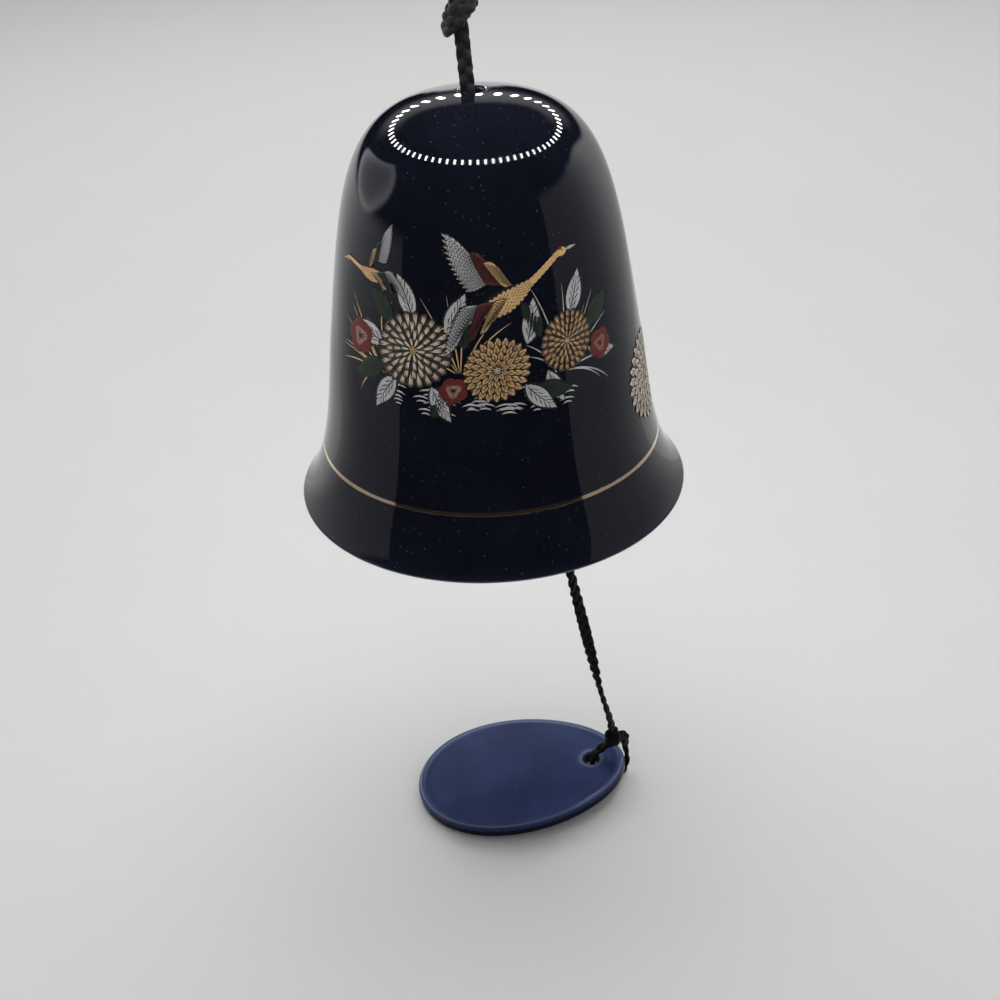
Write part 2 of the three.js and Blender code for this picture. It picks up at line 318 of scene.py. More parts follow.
def glaze(name, deep, thin_glaze_and_highlight, dull=0.025, shine=0.5):
    """Glossy glaze: deep colour with faint clouding, the paler colour where it runs thin on edges and where
    the share paints highlights, darker and less shiny as painted shade where the share is under 0, tiny pale
    specks under the surface, and a faint ripple."""
    finish = Finish(name, IOR=1.5)
    where = finish.coordinates()
    # The share carries thin glaze and painted highlight above 0 and painted shade below 0
    edge = finish.share()
    # Painted shade: less shine where the share is under 0
    finish.feed(finish.shader, "Specular IOR Level", finish.span(edge, -1, -0.4, 0.1 * shine, shine))
    cloud = finish.span(finish.noise(where, 70.0, 4.0), 0.35, 0.65, 0, 1)
    clouded = finish.blend(cloud, rgba(deep, 0.82), rgba(deep, 1.18))
    # Painted shade: darker where the share is under 0
    painted_shade = finish.blend(finish.span(edge, -1, 0, 1, 0), clouded, rgba(deep, 0.1))
    # Paler where the glaze runs thin, and a painted highlight where the share carries one
    coloured = finish.blend(edge, painted_shade, rgba(thin_glaze_and_highlight))
    speck = finish.add("TexVoronoi", Vector=where, Scale=620.0).outputs["Distance"]
    pale = rgba([0.25 + 0.5 * part for part in thin_glaze_and_highlight])
    specked = finish.blend(finish.span(speck, 0.06, 0.1, 0.26, 0), coloured, pale)
    dulled = finish.span(finish.noise(where, 160.0), 0.3, 0.7, dull, dull + 0.035)
    return finish.done(specked, dulled, finish.noise(where, 240.0, 2.0), 0.05, 0.05 * MM)


def bare_porcelain():
    """Unglazed porcelain: warm white with faint grain, matt."""
    finish = Finish("bare_porcelain")
    grain = finish.noise(finish.coordinates(), 900.0, 5.0)
    colour = finish.blend(grain, (0.62, 0.58, 0.51, 1), (0.74, 0.71, 0.65, 1))
    return finish.done(colour, finish.span(grain, 0.3, 0.7, 0.6, 0.8), grain, 0.3, 0.05 * MM)


def gilding(colour):
    """Fired bright gold: metal with faint brush streaks along the line."""
    finish = Finish("gilding", Metallic=1.0)
    stretched = finish.add("Mapping", Vector=finish.coordinates("UV"), Scale=(900.0, 6.0, 1.0))
    streak = finish.noise(stretched.outputs["Vector"], 1.0, 2.0)
    tinted = finish.blend(streak, rgba(colour, 0.8), rgba(colour))
    return finish.done(tinted, finish.span(streak, 0.3, 0.7, 0.04, 0.14), streak, 0.1, 0.01 * MM)


def ink(name, colour, shine):
    """Fired print colour: a flat enamel or lustre with fine grain and worn, thinner spots."""
    finish = Finish(name, Metallic=shine)
    where = finish.coordinates()
    grain = finish.noise(where, 2600.0, 2.0)
    worn = finish.span(finish.noise(where, 420.0), 0.45, 0.75, 0, 0.45)
    tinted = finish.blend(finish.span(grain, 0.35, 0.65, 0, 1), rgba(colour, 0.8), rgba(colour))
    shaded = finish.blend(worn, tinted, rgba(colour, 0.45))
    return finish.done(shaded, finish.span(grain, 0.3, 0.7, 0.3, 0.5), grain, 0.1, 0.03 * MM)


def plait_fibre(colour):
    """Matt black yarn: fine fibres that run along each strand at a slant, some of them paler, with painted
    light and
    shade by height: the whole brighter towards the top and darker and less shiny towards the foot of the
    cord."""
    finish = Finish("plait_fibre", Sheen_Weight=0.05, Sheen_Roughness=0.4)
    along = finish.coordinates("UV")
    slant = finish.add("Mapping", Vector=along, Scale=(40.0, 26.0, 1.0), Rotation=(0, 0, 0.2))
    fibre = finish.noise(slant.outputs["Vector"], 1.0)
    where = finish.coordinates()
    worn = finish.span(finish.noise(where, 900.0), 0.55, 0.75, 0, 0.35)
    tinted = finish.blend(finish.span(fibre, 0.35, 0.7, 0, 1), rgba(colour, 0.55), rgba(colour, 2.6))
    dusty = finish.blend(worn, tinted, rgba(colour, 3.5))
    # Painted light and shade: the yarn brighter and shinier towards the top, darker and duller towards the
    # foot
    level = finish.add("SeparateXYZ", Vector=where).outputs["Z"]
    height_share = finish.span(level, float(BELL_LOW[2]), float(BELL_HIGH[2]), 0, 1)
    finish.feed(finish.shader, "Specular IOR Level", finish.span(height_share, 0, 1, 0.2, 0.4))
    painted_light_and_shade = finish.blend(height_share, rgba([0.15] * 3), rgba([1.9] * 3))
    coloured = finish.blend(1.0, dusty, painted_light_and_shade, "MULTIPLY")
    return finish.done(coloured, finish.span(fibre, 0.3, 0.7, 0.5, 0.8), fibre, 0.6, 0.12 * MM)


def bezier(a, b, c, d, steps):
    """Points of a cubic curve from a to d that leaves along b and arrives along c."""
    t = np.linspace(0, 1, steps)[:, None]
    return (1 - t) ** 3 * a + 3 * (1 - t) ** 2 * t * b + 3 * (1 - t) * t ** 2 * c + t ** 3 * d


def arc(centre, size, start, end, steps):
    """Points of a circle's arc, as radius and height."""
    angle = np.linspace(start, end, steps)
    return np.array(centre) + size * np.stack([np.cos(angle), np.sin(angle)], axis=1)


def turned(profile, sides):
    """Surface of revolution: each profile point's radius carried round the Z axis at its height."""
    angle = circle(sides)
    around = np.stack([np.cos(angle), np.sin(angle)], axis=1)
    flat = profile[:, None, :1] * around[None]
    height = np.broadcast_to(profile[:, None, 1:], flat[..., :1].shape)
    return np.concatenate([flat, height], axis=-1)


def set_along(local, origin, down, side):
    """Moves points from a piece's own axes, where it hangs down -Z with X along side, to the row frame."""
    ahead = np.cross(-down, side)
    return origin + local[..., :1] * side + local[..., 1:2] * ahead - local[..., 2:] * down


# The bell's profile: steps along each curve and round it, how far the curves hold their end directions, as
# shares of the stretch they span, its slopes and edges, the foot's bevel, and how far thin glaze reaches
# from the lip and the hole
PROFILE_STEPS = 90
BELL_SIDES = 256
RIM_HOLD = 0.3
FLARE_HOLD = 0.33
DOME_HOLD = 0.726
CROWN_HOLD = 0.76
BODY_TAPER = math.radians(9.5)
RIM_SLOPE = math.radians(47.5)
CROWN_SLOPE = math.radians(3)
LIP_ROUND = 1.0 * MM
CROWN_EDGE = 0.7 * MM
CROWN_HOLE = 2.5 * MM
FOOT_SLOPE = 0.35
FOOT_BEVEL = (0.25 * MM, 0.35 * MM)
LIP_THIN = 1.3 * MM
HOLE_THIN = 0.8 * MM


def bell_outside(shell):
    """Outer line of the bell as radius and height above the rim: one curve from the lip through the
    flare to the body, and one over the dome to the crown, with the outward normal at each point."""
    body = np.array([shell.body_diameter / 2, shell.body_level])
    crown = np.array([CROWN_HOLE + CROWN_EDGE, shell.height])
    rise = np.array([-math.sin(BODY_TAPER), math.cos(BODY_TAPER)])
    leave = np.array([-math.cos(RIM_SLOPE), math.sin(RIM_SLOPE)])
    fall = np.array([math.cos(CROWN_SLOPE), -math.sin(CROWN_SLOPE)])
    lip = np.array([shell.rim_diameter / 2, LIP_ROUND])
    waist = body - FLARE_HOLD * body[1] * rise
    flare = bezier(lip, lip + RIM_HOLD * body[1] * leave, waist, body, PROFILE_STEPS)
    shoulder = crown + CROWN_HOLD * (body[0] - crown[0]) * fall
    side = body + DOME_HOLD * (crown[1] - body[1]) * rise
    line = np.concatenate([flare, bezier(body, side, shoulder, crown, PROFILE_STEPS)[1:]])
    along = unit(np.gradient(line, axis=0))
    return line, np.stack([along[:, 1], -along[:, 0]], axis=1)


def bell_spot(shell, angle, height, lift):
    """Point of the bell's outside at an angle from the front towards +X and a height above the rim,
    lifted off along the surface's normal."""
    line, normal = bell_outside(shell)
    radius, out, rise = (np.interp(height, line[:, 1], values) for values in (line[:, 0], *normal.T))
    reach = radius + lift * out
    return AXIS + np.stack([reach * np.sin(angle), -reach * np.cos(angle), height + lift * rise], axis=-1)


def make_bell(shell):
    """Bell shell: the outer line, the crown's rounded hole, the same line moved in by the wall, and the
    flat foot that stands bare of glaze."""
    line, normal = bell_outside(shell)
    inside = line - shell.wall * normal
    inside = inside[inside[:, 1] > LIP_ROUND][::2]
    foot = inside[0, 0] + inside[0, 1] * FOOT_SLOPE
    under = shell.height - shell.wall
    under_edge = LIP_ROUND / 2
    profile = np.concatenate([
        arc((shell.rim_diameter / 2 - LIP_ROUND, LIP_ROUND), LIP_ROUND, -math.pi / 2, 0, 10)[:-1],
        line,
        arc((CROWN_HOLE + CROWN_EDGE, shell.height - CROWN_EDGE), CROWN_EDGE, math.pi / 2, math.pi, 12)[1:],
        arc((CROWN_HOLE + under_edge, under + under_edge), under_edge, math.pi, 1.5 * math.pi, 6),
        inside[::-1],
        [(foot - FOOT_BEVEL[0], FOOT_BEVEL[1]), (foot, 0.0)],
    ])
    hole = bump(profile[:, 0], CROWN_HOLE, HOLE_THIN) * (profile[:, 1] > under)
    thin = np.repeat(np.maximum(bump(profile[:, 1], 0, LIP_THIN), hole), BELL_SIDES)
    bare = np.repeat(np.arange(len(profile)) >= len(profile) - 2, BELL_SIDES)
    finishes = [glaze("bell_glaze", shell.glaze_color, shell.edge_color), bare_porcelain()]
    patch = grid(turned(profile, BELL_SIDES) + AXIS, True, True)
    dress(piece("bell_shell", patch, finishes, bare, thin), "bell", "bell_glaze", "bell")


# Gilt line: steps along and round it, half its thickness, how square its section is, and the waves of its
# width as share, number round the bell and start
GILT_STEPS = 360
GILT_SIDES = 24
GILT_HALF = 0.012 * MM
GILT_SQUARE = 0.3
GILT_WAVES = ((0.05, 5, 1), (0.04, 13, 0), (0.03, 31, 2))


def make_gilt_line(shell):
    """Gilt line: a thin flat band of gold carried round the flare, its section a rounded oblong and its
    width wavering as a brush line does."""
    angle, turn = circle(GILT_STEPS), circle(GILT_SIDES)[:, None]
    waver = 1 + sum(share * np.sin(waves * angle + start) for share, waves, start in GILT_WAVES)
    across, lift = (np.sign(side) * np.abs(side) ** GILT_SQUARE for side in (np.cos(turn), np.sin(turn)))
    height = shell.gilt_level + shell.gilt_width / 2 * waver * across
    points = bell_spot(shell, angle + 0 * turn, height, GILT_HALF * lift + 0 * angle)
    made = piece("gilt_line", grid(points, True, True), [gilding(shell.gilt_color)])
    dress(made, "bell", "bell_glaze")


# Strokes of the print: half a stroke's thickness, how far one level lies over the last, and the bend that
# a straight one has
STROKE_HALF = 0.007 * MM
LEVEL_STEP = 0.003 * MM
LEAST_BEND = 1e-6


def travel(x, y, heading, length, bend, share):
    """Place and heading after a share of a stroke that runs along a circle's arc."""
    turn = np.where(np.abs(bend) < LEAST_BEND, LEAST_BEND, bend)
    aim = heading + turn * share
    reach = length / turn
    return x + reach * (np.sin(aim) - np.sin(heading)), y - reach * (np.cos(aim) - np.cos(heading)), aim


def strokes(x, y, heading, length, width, bend=0.0, fullness=1.0, point=0.7, rows=8, columns=6):
    """Many brush strokes at once, flat. Each starts at x, y, runs off at its heading, turns steadily by
    its bend and is as wide as a power of the sine of the distance raised to its fullness, so a high
    fullness puts the widest place near the tip and a high power makes the ends sharp. The columns go
    over and back under it. Gives points with the axes stroke, row, column and x or y."""
    values = np.broadcast_arrays(*np.atleast_1d(x, y, heading, length, width, bend))
    x, y, heading, length, width, bend = (value[..., None] for value in values)
    share = np.linspace(0, 1, rows)
    middle_x, middle_y, aim = (value[..., None] for value in travel(x, y, heading, length, bend, share))
    half = width / 2 * np.sin(math.pi * share ** fullness).clip(0) ** point
    across = half[..., None] * np.cos(circle(columns))
    flat = np.stack([middle_x - np.sin(aim) * across, middle_y + np.cos(aim) * across], axis=-1)
    return flat.reshape(-1, *flat.shape[-3:])


class Sheet:
    """Flat print in millimetres: strokes by ink, each motif laid upwards from a level of its own."""

    def __init__(self):
        self.laid = []

    def at(self, level, x, y, size, turn=0.0, squash=1.0, mirror=1.0):
        """Sets the next motif's level and place, and how it is made large, squashed, mirrored and turned."""
        ahead = np.array([math.cos(turn), math.sin(turn)])
        aside = np.array([-math.sin(turn), math.cos(turn)])
        self.level = level
        self.place = np.array([x, y])
        self.axes = size * np.stack([mirror * ahead, squash * aside])
        return self

    def draw(self, ink_name, *stroke, **more):
        """Draws strokes of the motif in one ink and goes up a level."""
        self.laid.append((ink_name, strokes(*stroke, **more) @ self.axes + self.place, self.level))
        self.level += 1


# Rings of a bloom's petals from the outside in, as their number, start and length, and its heart's dots
BLOOM_RINGS = ((24, 0.6, 0.4), (20, 0.42, 0.37), (15, 0.25, 0.33), (10, 0.1, 0.25))
BLOOM_FAN = np.array([-0.24, 0.0, 0.24])
HEART_DOTS = 16


def lay_bloom(sheet, petal, line, heart):
    """Chrysanthemum of radius one: rings of petals from the outside in, three fine lines down each, over a
    dark ground, and a heart of dots."""
    sheet.draw("shade", -0.86, 0, 0, 1.72, 1.72, point=0.5, rows=20, columns=28)
    for ring, (count, start, length) in enumerate(BLOOM_RINGS):
        heading = math.tau * (np.arange(count) + 0.5 * (ring % 2)) / count
        width = 0.94 * math.tau * (start + 0.62 * length) / count
        x, y = start * np.cos(heading), start * np.sin(heading)
        sheet.draw("shade", x, y, heading, 1.05 * length, 1.25 * width, bend=0.1, fullness=1.35, point=0.6)
        sheet.draw(petal, x, y, heading, length, 0.9 * width, bend=0.1, fullness=1.35, point=0.75)
        fan = BLOOM_FAN[:, None] * width
        x, y = x - 0.3 * fan * np.sin(heading), y + 0.3 * fan * np.cos(heading)
        sheet.draw(
            line, x, y, heading + 1.6 * fan, 0.88 * length, 0.13 * width,
            bend=0.1, fullness=1.2, point=0.5, rows=6,
        )
    dot = np.arange(HEART_DOTS)
    reach, angle = 0.1 * np.sqrt(dot / HEART_DOTS), 2.4 * dot
    sheet.draw(heart, reach * np.cos(angle) - 0.02, reach * np.sin(angle), 0, 0.04, 0.04, rows=5)


LEAF_BEND = 0.25


def lay_leaf(sheet, ink_name):
    """Leaf of length one along +X: a pointed blade with a dark midrib and dark veins that sweep to its
    tip, ragged at the edge."""
    blade = {"bend": LEAF_BEND, "fullness": 0.85, "rows": 12, "columns": 14}
    sheet.draw("shade", -0.03, 0, 0, 1.06, 0.5, point=0.8, **blade)
    sheet.draw(ink_name, 0, 0, 0, 1, 0.42, point=0.95, **blade)
    x, y, aim = travel(0, 0, 0, 1, LEAF_BEND, np.linspace(0.14, 0.74, 5))
    for side in (1, -1):
        sheet.draw("shade", x, y, aim + 0.62 * side, 0.25, 0.03, -0.3 * side, fullness=1.8, point=0.6, rows=6)
    sheet.draw("shade", 0.02, 0, 0, 0.9, 0.03, LEAF_BEND, fullness=0.5, point=0.6)


def lay_blossom(sheet, petal, stamen):
    """Five-petalled blossom of radius one with its stamens, over a dark ground."""
    sheet.draw("shade", -0.9, 0, 0, 1.8, 1.8, point=0.5, rows=12, columns=16)
    heading = circle(5) + 0.3
    x, y = 0.12 * np.cos(heading), 0.12 * np.sin(heading)
    sheet.draw(petal, x, y, heading, 0.88, 0.92, fullness=1.25, point=0.55, rows=10, columns=12)
    fine = circle(20)
    x, y = 0.1 * np.cos(fine), 0.1 * np.sin(fine)
    sheet.draw(stamen, x, y, fine, 0.4 + 0.1 * np.cos(3 * fine), 0.045, fullness=2.5, point=0.6, rows=6)


def lay_scales(sheet, ink_name, line, half, across):
    """Scales over a band that follows a line of points: staggered rows of small rounded strokes that point
    back along it, dark between."""
    rows = len(half)
    spot = np.linspace(0, len(line) - 1, rows)
    base = np.stack([np.interp(spot, np.arange(len(line)), values) for values in line.T], axis=1)
    run = unit(np.gradient(base, axis=0))
    step = step_lengths(base).mean()
    width = half[:, None]
    side = (np.arange(across) + 0.5) / across * 2 - 1
    aside = (side[None] + (np.arange(rows) % 2)[:, None] / across - 0.5 / across) * width
    x = base[:, :1] + 0.4 * step * run[:, :1] - run[:, 1:] * aside
    y = base[:, 1:] + 0.4 * step * run[:, 1:] + run[:, :1] * aside
    heading = np.arctan2(run[:, 1:], run[:, :1]) + math.pi
    sheet.draw(ink_name, x, y, heading, 1.7 * step, 1.7 * width / across, fullness=0.9, point=0.6, rows=6)


def lay_feathers(sheet, ink_name, x, y, heading, length, width, bend, barbs):
    """Row of feathers, each a dark-edged blade with a shaft line and fine slanting barbs cut dark."""
    sheet.draw("shade", x, y, heading, 1.03 * length, 1.25 * width, bend, fullness=1.5, point=0.6)
    sheet.draw(ink_name, x, y, heading, length, 0.9 * width, bend, fullness=1.5)
    spot_x, spot_y, aim = travel(x, y, heading, length, bend, np.linspace(0.15, 0.85, barbs)[:, None])
    for side in (1, -1):
        sheet.draw("shade", spot_x, spot_y, aim + 0.5 * side, 0.62 * width, 0.11 * width, point=0.5, rows=5)
    sheet.draw("shade", x, y, heading, 0.96 * length, 0.09 * width, bend, fullness=0.6, point=0.5, rows=6)


# Crane: half width of its body and neck by the share of the way from tail to head, the curve they follow
# and their scales, and each wing's root, the run of its edge and its rows of feathers: ink, or none for the
# crane's second ink, place from the edge, heading and length each with its change along the wing, width,
# bend and barbs
BODY_HALF = ((0, 0.15, 0.32, 0.5, 0.62, 1), (0.03, 0.075, 0.088, 0.06, 0.03, 0.024))
BODY_CURVE = np.array([(-0.24, -0.05), (0.1, -0.06), (0.35, 0.06), (0.7, 0.15)])
SCALE_ROWS = 40
SCALE_COLUMNS = 5
WING_FEATHERS = 12
FAR_WING = (0.16, 0.05, -0.08, 0.2, (
    ("silver", -0.2, 0.12, 3.0, -0.85, 0.24, 0.16, 0.055, 0.3, 9),
    (None, -0.09, 0.06, 2.45, -0.2, 0.2, 0, 0.055, 0.3, 5),
    ("gold", 0, 0, 2.3, 0.1, 0.16, 0, 0.05, 0.3, 4),
))
NEAR_WING = (0.08, 0, -0.2, -0.12, (
    ("silver", -0.24, 0.02, 3.2, 0.75, 0.22, 0.12, 0.052, -0.25, 8),
    (None, -0.12, 0.01, 3.3, 0.75, 0.19, 0, 0.052, -0.3, 5),
    ("gold", 0, 0, 3.35, 0.5, 0.16, 0, 0.05, -0.3, 4),
))


def lay_wing(sheet, second, root_x, root_y, run_x, run_y, rows):
    """Wing: rows of feathers along its edge, turning and lengthening evenly from its root to its end."""
    share = np.linspace(0, 1, WING_FEATHERS)
    for ink_name, x, y, heading, turn, length, growth, width, bend, barbs in rows:
        x, y = root_x + x + run_x * share, root_y + y + run_y * share
        heading, length = heading + turn * share, length + growth * share
        lay_feathers(sheet, ink_name or second, x, y, heading, length, width, bend, barbs)


def lay_crane(sheet, second):
    """Crane in flight towards +X, about one long: legs and tail, the far wing, the body and stretched neck
    in scales, the head, and the near wing, each wing of three rows of feathers."""
    sheet.draw("gold", [-0.22, -0.2], [-0.035, -0.06], [3.22, 3.3], 0.4, 0.014, bend=0.12, point=0.5)
    lay_feathers(sheet, "silver", -0.16, -0.02, np.linspace(2.9, 3.5, 6), 0.24, 0.06, 0.0, 6)
    lay_wing(sheet, second, *FAR_WING)
    sheet.draw("shade", -0.27, -0.055, 0.06, 0.62, 0.21, bend=0.2, fullness=0.95, rows=18, columns=16)
    half = np.interp(np.linspace(0, 1, SCALE_ROWS), *BODY_HALF)
    lay_scales(sheet, "gold", bezier(*BODY_CURVE, 60), half, SCALE_COLUMNS)
    sheet.draw("gold", 0.66, 0.14, 0.05, 0.12, 0.075, bend=-0.3, fullness=0.9, point=0.6)
    sheet.draw("maroon", 0.68, 0.168, 0.05, 0.07, 0.03, point=0.6)
    sheet.draw("shade", 0.72, 0.148, 0, 0.018, 0.018, rows=5)
    sheet.draw("silver", 0.77, 0.135, -0.15, 0.13, 0.024, fullness=0.6)
    lay_wing(sheet, second, *NEAR_WING)


def lay_grass(sheet, ink_name, count, spread, lean, seed):
    """Tuft of fine blades from one root: headings fanned over a spread, longer in the middle, drooping
    to their own side."""
    chance = np.random.default_rng(seed)
    fan = np.linspace(-1, 1, count) + 0.15 * chance.standard_normal(count)
    length = 1.0 - 0.35 * fan ** 2 + 0.12 * chance.standard_normal(count)
    heading = math.pi / 2 + lean - spread * fan
    sheet.draw(ink_name, 0.06 * fan, 0, heading, length, 0.018, -0.9 * fan, fullness=0.7, rows=26)


def lay_water(sheet, ink_name, count, seed):
    """Short strokes of water in a patch one wide, bowed and nested in pairs."""
    chance = np.random.default_rng(seed)
    x = chance.uniform(-0.5, 0.4, count)
    y = 0.05 * chance.standard_normal(count)
    length = chance.uniform(0.06, 0.14, count)
    pair_x, pair_y, lengths = [x, x + 0.2 * length], [y, y - 0.018], [length, 0.6 * length]
    sheet.draw(ink_name, pair_x, pair_y, 0.5, lengths, 0.009, bend=-1.1, point=0.5, rows=6)


# Levels that the motifs start from: grass and water first, then leaves, flowers and cranes
LEAF_LEVEL = 3
LEAF_STEP = 5
FLOWER_LEVEL = 20
CRANE_LEVEL = 36

# The front print, two cranes over three blooms, and the smaller, paler one at the side: grass and water,
# leaves by ink, then flowers and cranes. A place is x, y, size, turn, squash and mirror, as far as needed
FRONT_PRINT = (
    (
        (lay_grass, (-20, -11, 17), "gold", 11, 1.0, 0.6, 3),
        (lay_grass, (18, -11, 18), "silver", 11, 0.9, -0.6, 5),
        (lay_grass, (-3, -9, 16), "gold", 9, 0.8, 0.1, 11),
        (lay_water, (1, -14.5, 40), "silver", 36, 7),
    ),
    {
        "green": (
            (-20, -9, 9, -2.8), (-18, 0, 8.5, 2.3), (-4, -11, 9, -2.3), (-2, -4, 8.5, 1.6),
            (12, -13, 8, -0.3), (25, -3, 8.5, 0.5), (14, -3, 8, 1.9),
        ),
        "silver": (
            (-20, -5, 10, 2.75), (-17, -11, 9, -2.3), (-9, -12, 8, -1.2), (-13, 1, 9.5, 1.9),
            (-6, -1, 9, 0.9), (10, -12, 8.5, -0.9), (11, -4, 9, 1.2), (25, -8, 8, -0.4),
            (21, 0, 9, 1.0), (15, -10, 7.5, -1.3),
        ),
    },
    (
        (lay_blossom, (-27.5, -5, 4.2, 0.2, 0.9), "maroon", "cream"),
        (lay_blossom, (28.5, -8, 3.4, 0.7, 0.9), "maroon", "gold"),
        (lay_blossom, (-4.5, -12.5, 3.2, 0.5, 0.85), "maroon", "cream"),
        (lay_bloom, (20, -5, 6.6, 0.7, 0.88), "brown", "gold", "cream"),
        (lay_bloom, (-13, -5, 8.8, 0.2, 0.88), "brown", "cream", "gold"),
        (lay_bloom, (4.5, -8.5, 7.2, 0.5, 0.86), "gold", "brown", "cream"),
        (lay_crane, (6, 5, 23, 0.25), "maroon"),
        (lay_crane, (-23.5, 8.5, 14, 0.1, 1.0, -1.0), "green"),
    ),
)
SIDE_PRINT = (
    ((lay_grass, (8, -8, 18), "gold", 9, 0.8, -0.5, 9),),
    {"green": ((-5, -5, 10, -0.5), (-5, 4, 9, 0.9), (16, -2, 10, -0.2), (0, -8, 9, -1.4), (15, 4, 9, 0.6))},
    (
        (lay_blossom, (20, -5, 4, 0.2, 0.9), "maroon", "cream"),
        (lay_bloom, (-13, 0, 10, 0.3, 0.97), "cream", "brown", "gold"),
        (lay_bloom, (9, 1, 7.4, 0.9, 0.92), "cream", "brown", "gold"),
    ),
)

# Inks with their shine, and the middle of each print: the angle from the front and the height over the rim
INKS = {"gold": 0.2, "silver": 0.2, "green": 0.1, "maroon": 0.1, "brown": 0.1, "cream": 0.0, "shade": 0.0}
FRONT_MIDDLE = (math.radians(-4), 52 * MM)
SIDE_MIDDLE = (math.radians(96), 29.5 * MM)


def design(ground, leaves, figures):
    """Flat print of the motifs in a list: each on its own level, the leaves by turns a little higher."""
    sheet = Sheet()
    for level, (motif, place, *details) in enumerate(ground):
        motif(sheet.at(level, *place), *details)
    for ink_name, places in leaves.items():
        for index, place in enumerate(places):
            lay_leaf(sheet.at(LEAF_LEVEL + LEAF_STEP * (index % 3), *place), ink_name)
    for motif, place, *inks in figures:
        motif(sheet.at(CRANE_LEVEL if motif is lay_crane else FLOWER_LEVEL, *place), *inks)
    return sheet.laid


def make_print(shell, colours):
    """Print: each ink's flat strokes wrapped on the bell, round by distance over the body's radius and
    up by height, as thin raised lenses, one piece for each ink."""
    patches = {name: [] for name in INKS}
    for laid, (angle, height) in ((design(*FRONT_PRINT), FRONT_MIDDLE), (design(*SIDE_PRINT), SIDE_MIDDLE)):
        for name, flat, level in laid:
            round_it = angle + flat[..., 0] * MM / (shell.body_diameter / 2)
            lift = STROKE_HALF * (1 + np.sin(circle(flat.shape[2]))) + level * LEVEL_STEP + 0 * round_it
            patches[name].append(repeated(bell_spot(shell, round_it, height + flat[..., 1] * MM, lift)))
    for name, shine in INKS.items():
        finish = ink("ink_" + name, getattr(colours, name), shine)
        dress(piece("print_" + name, joined(patches[name]), [finish]), "bell", "bell_glaze")


# Plait: step along a strand, facets round it, its shares of the cord's section and its round end, the third
# harmonic's share in its weave, its yarns and their relief, the length of a UV map, steps of a smooth curve
# for each point of its route, and points that tell a cord's path
STRAND_STEP = 0.17 * MM
STRAND_SIDES = 14
STRAND_WIDTH = 0.6
STRAND_THICKNESS = 0.62
STRAND_END = 0.4 * MM
WEAVE_THIRD = 0.15
YARN_LAY = 2.4 * MM
YARN_PLIES = 4
YARN_RELIEF = 0.05
UV_LENGTH = 60 * MM
SMOOTH_STEPS = 40

# How far the tag's cord has turned from its wide side, and strayed sideways, at distances from its pivot,
# and how far the lower loop is turned at its start, until which shares of its length
TWIST_SPOTS = np.array([0, 38, 58, 66, 72, 77, 84, 88.5, 93]) * MM
TWIST_TURNS = np.radians([-75, -54, 0, 28, 54, 85, 92, 106, 128])
TWIST_STRAY = np.array([0, -0.63, -0.4, -0.35, -0.33, -0.28, 0.2, 0.55, 0.3]) * MM
TWIST_EASE = 20
LOOP_TURN = 1.1
LOOP_TURN_END = (0.14, 0.26)

# Knots: width, turns, tilt, start and spread of the outer winding, the inner one's width and tilt as shares
# of those, its turns and its later start, how the ends are drawn in, and points of a winding
TOP_WINDING = (7.8 * MM, 1.9, 0.9, 2.4, 0.3)
STOP_WINDING = (8.0 * MM, 1.6, 0.1, 0.3, 0.62)
CLAPPER_WINDING = (7.2 * MM, 1.7, 0.22, 0.6, 0.62)
TAG_WINDING = (4.6 * MM, 1.4, 0.3, -0.4, 0.5)
INNER_REACH = 0.55
INNER_TILT = -0.5
INNER_TURNS = 1.2
INNER_START = 2.0
DRAWN_IN = (0.12, 2.6)
KNOT_POINTS = 60


def even_path(points):
    """Smooth curve through points, cut in even steps: each stretch is a cubic whose end slopes are the
    central differences of the points."""
    knots = np.concatenate([[0], np.cumsum(step_lengths(points))])
    slope = np.gradient(points, knots, axis=0)
    where = np.linspace(0, knots[-1], SMOOTH_STEPS * len(points))
    stretch = np.clip(np.searchsorted(knots, where, side="right") - 1, 0, len(points) - 2)
    span = (knots[stretch + 1] - knots[stretch])[:, None]
    t = (where[:, None] - knots[stretch][:, None]) / span
    smooth = (
        (2 * t ** 3 - 3 * t ** 2 + 1) * points[stretch] + (t ** 3 - 2 * t ** 2 + t) * span * slope[stretch]
        + (3 * t ** 2 - 2 * t ** 3) * points[stretch + 1] + (t ** 3 - t ** 2) * span * slope[stretch + 1]
    )
    travelled = np.concatenate([[0], np.cumsum(step_lengths(smooth))])
    even = np.linspace(0, travelled[-1], max(8, int(travelled[-1] / STRAND_STEP)))
    return np.stack([np.interp(even, travelled, values) for values in smooth.T], axis=1)


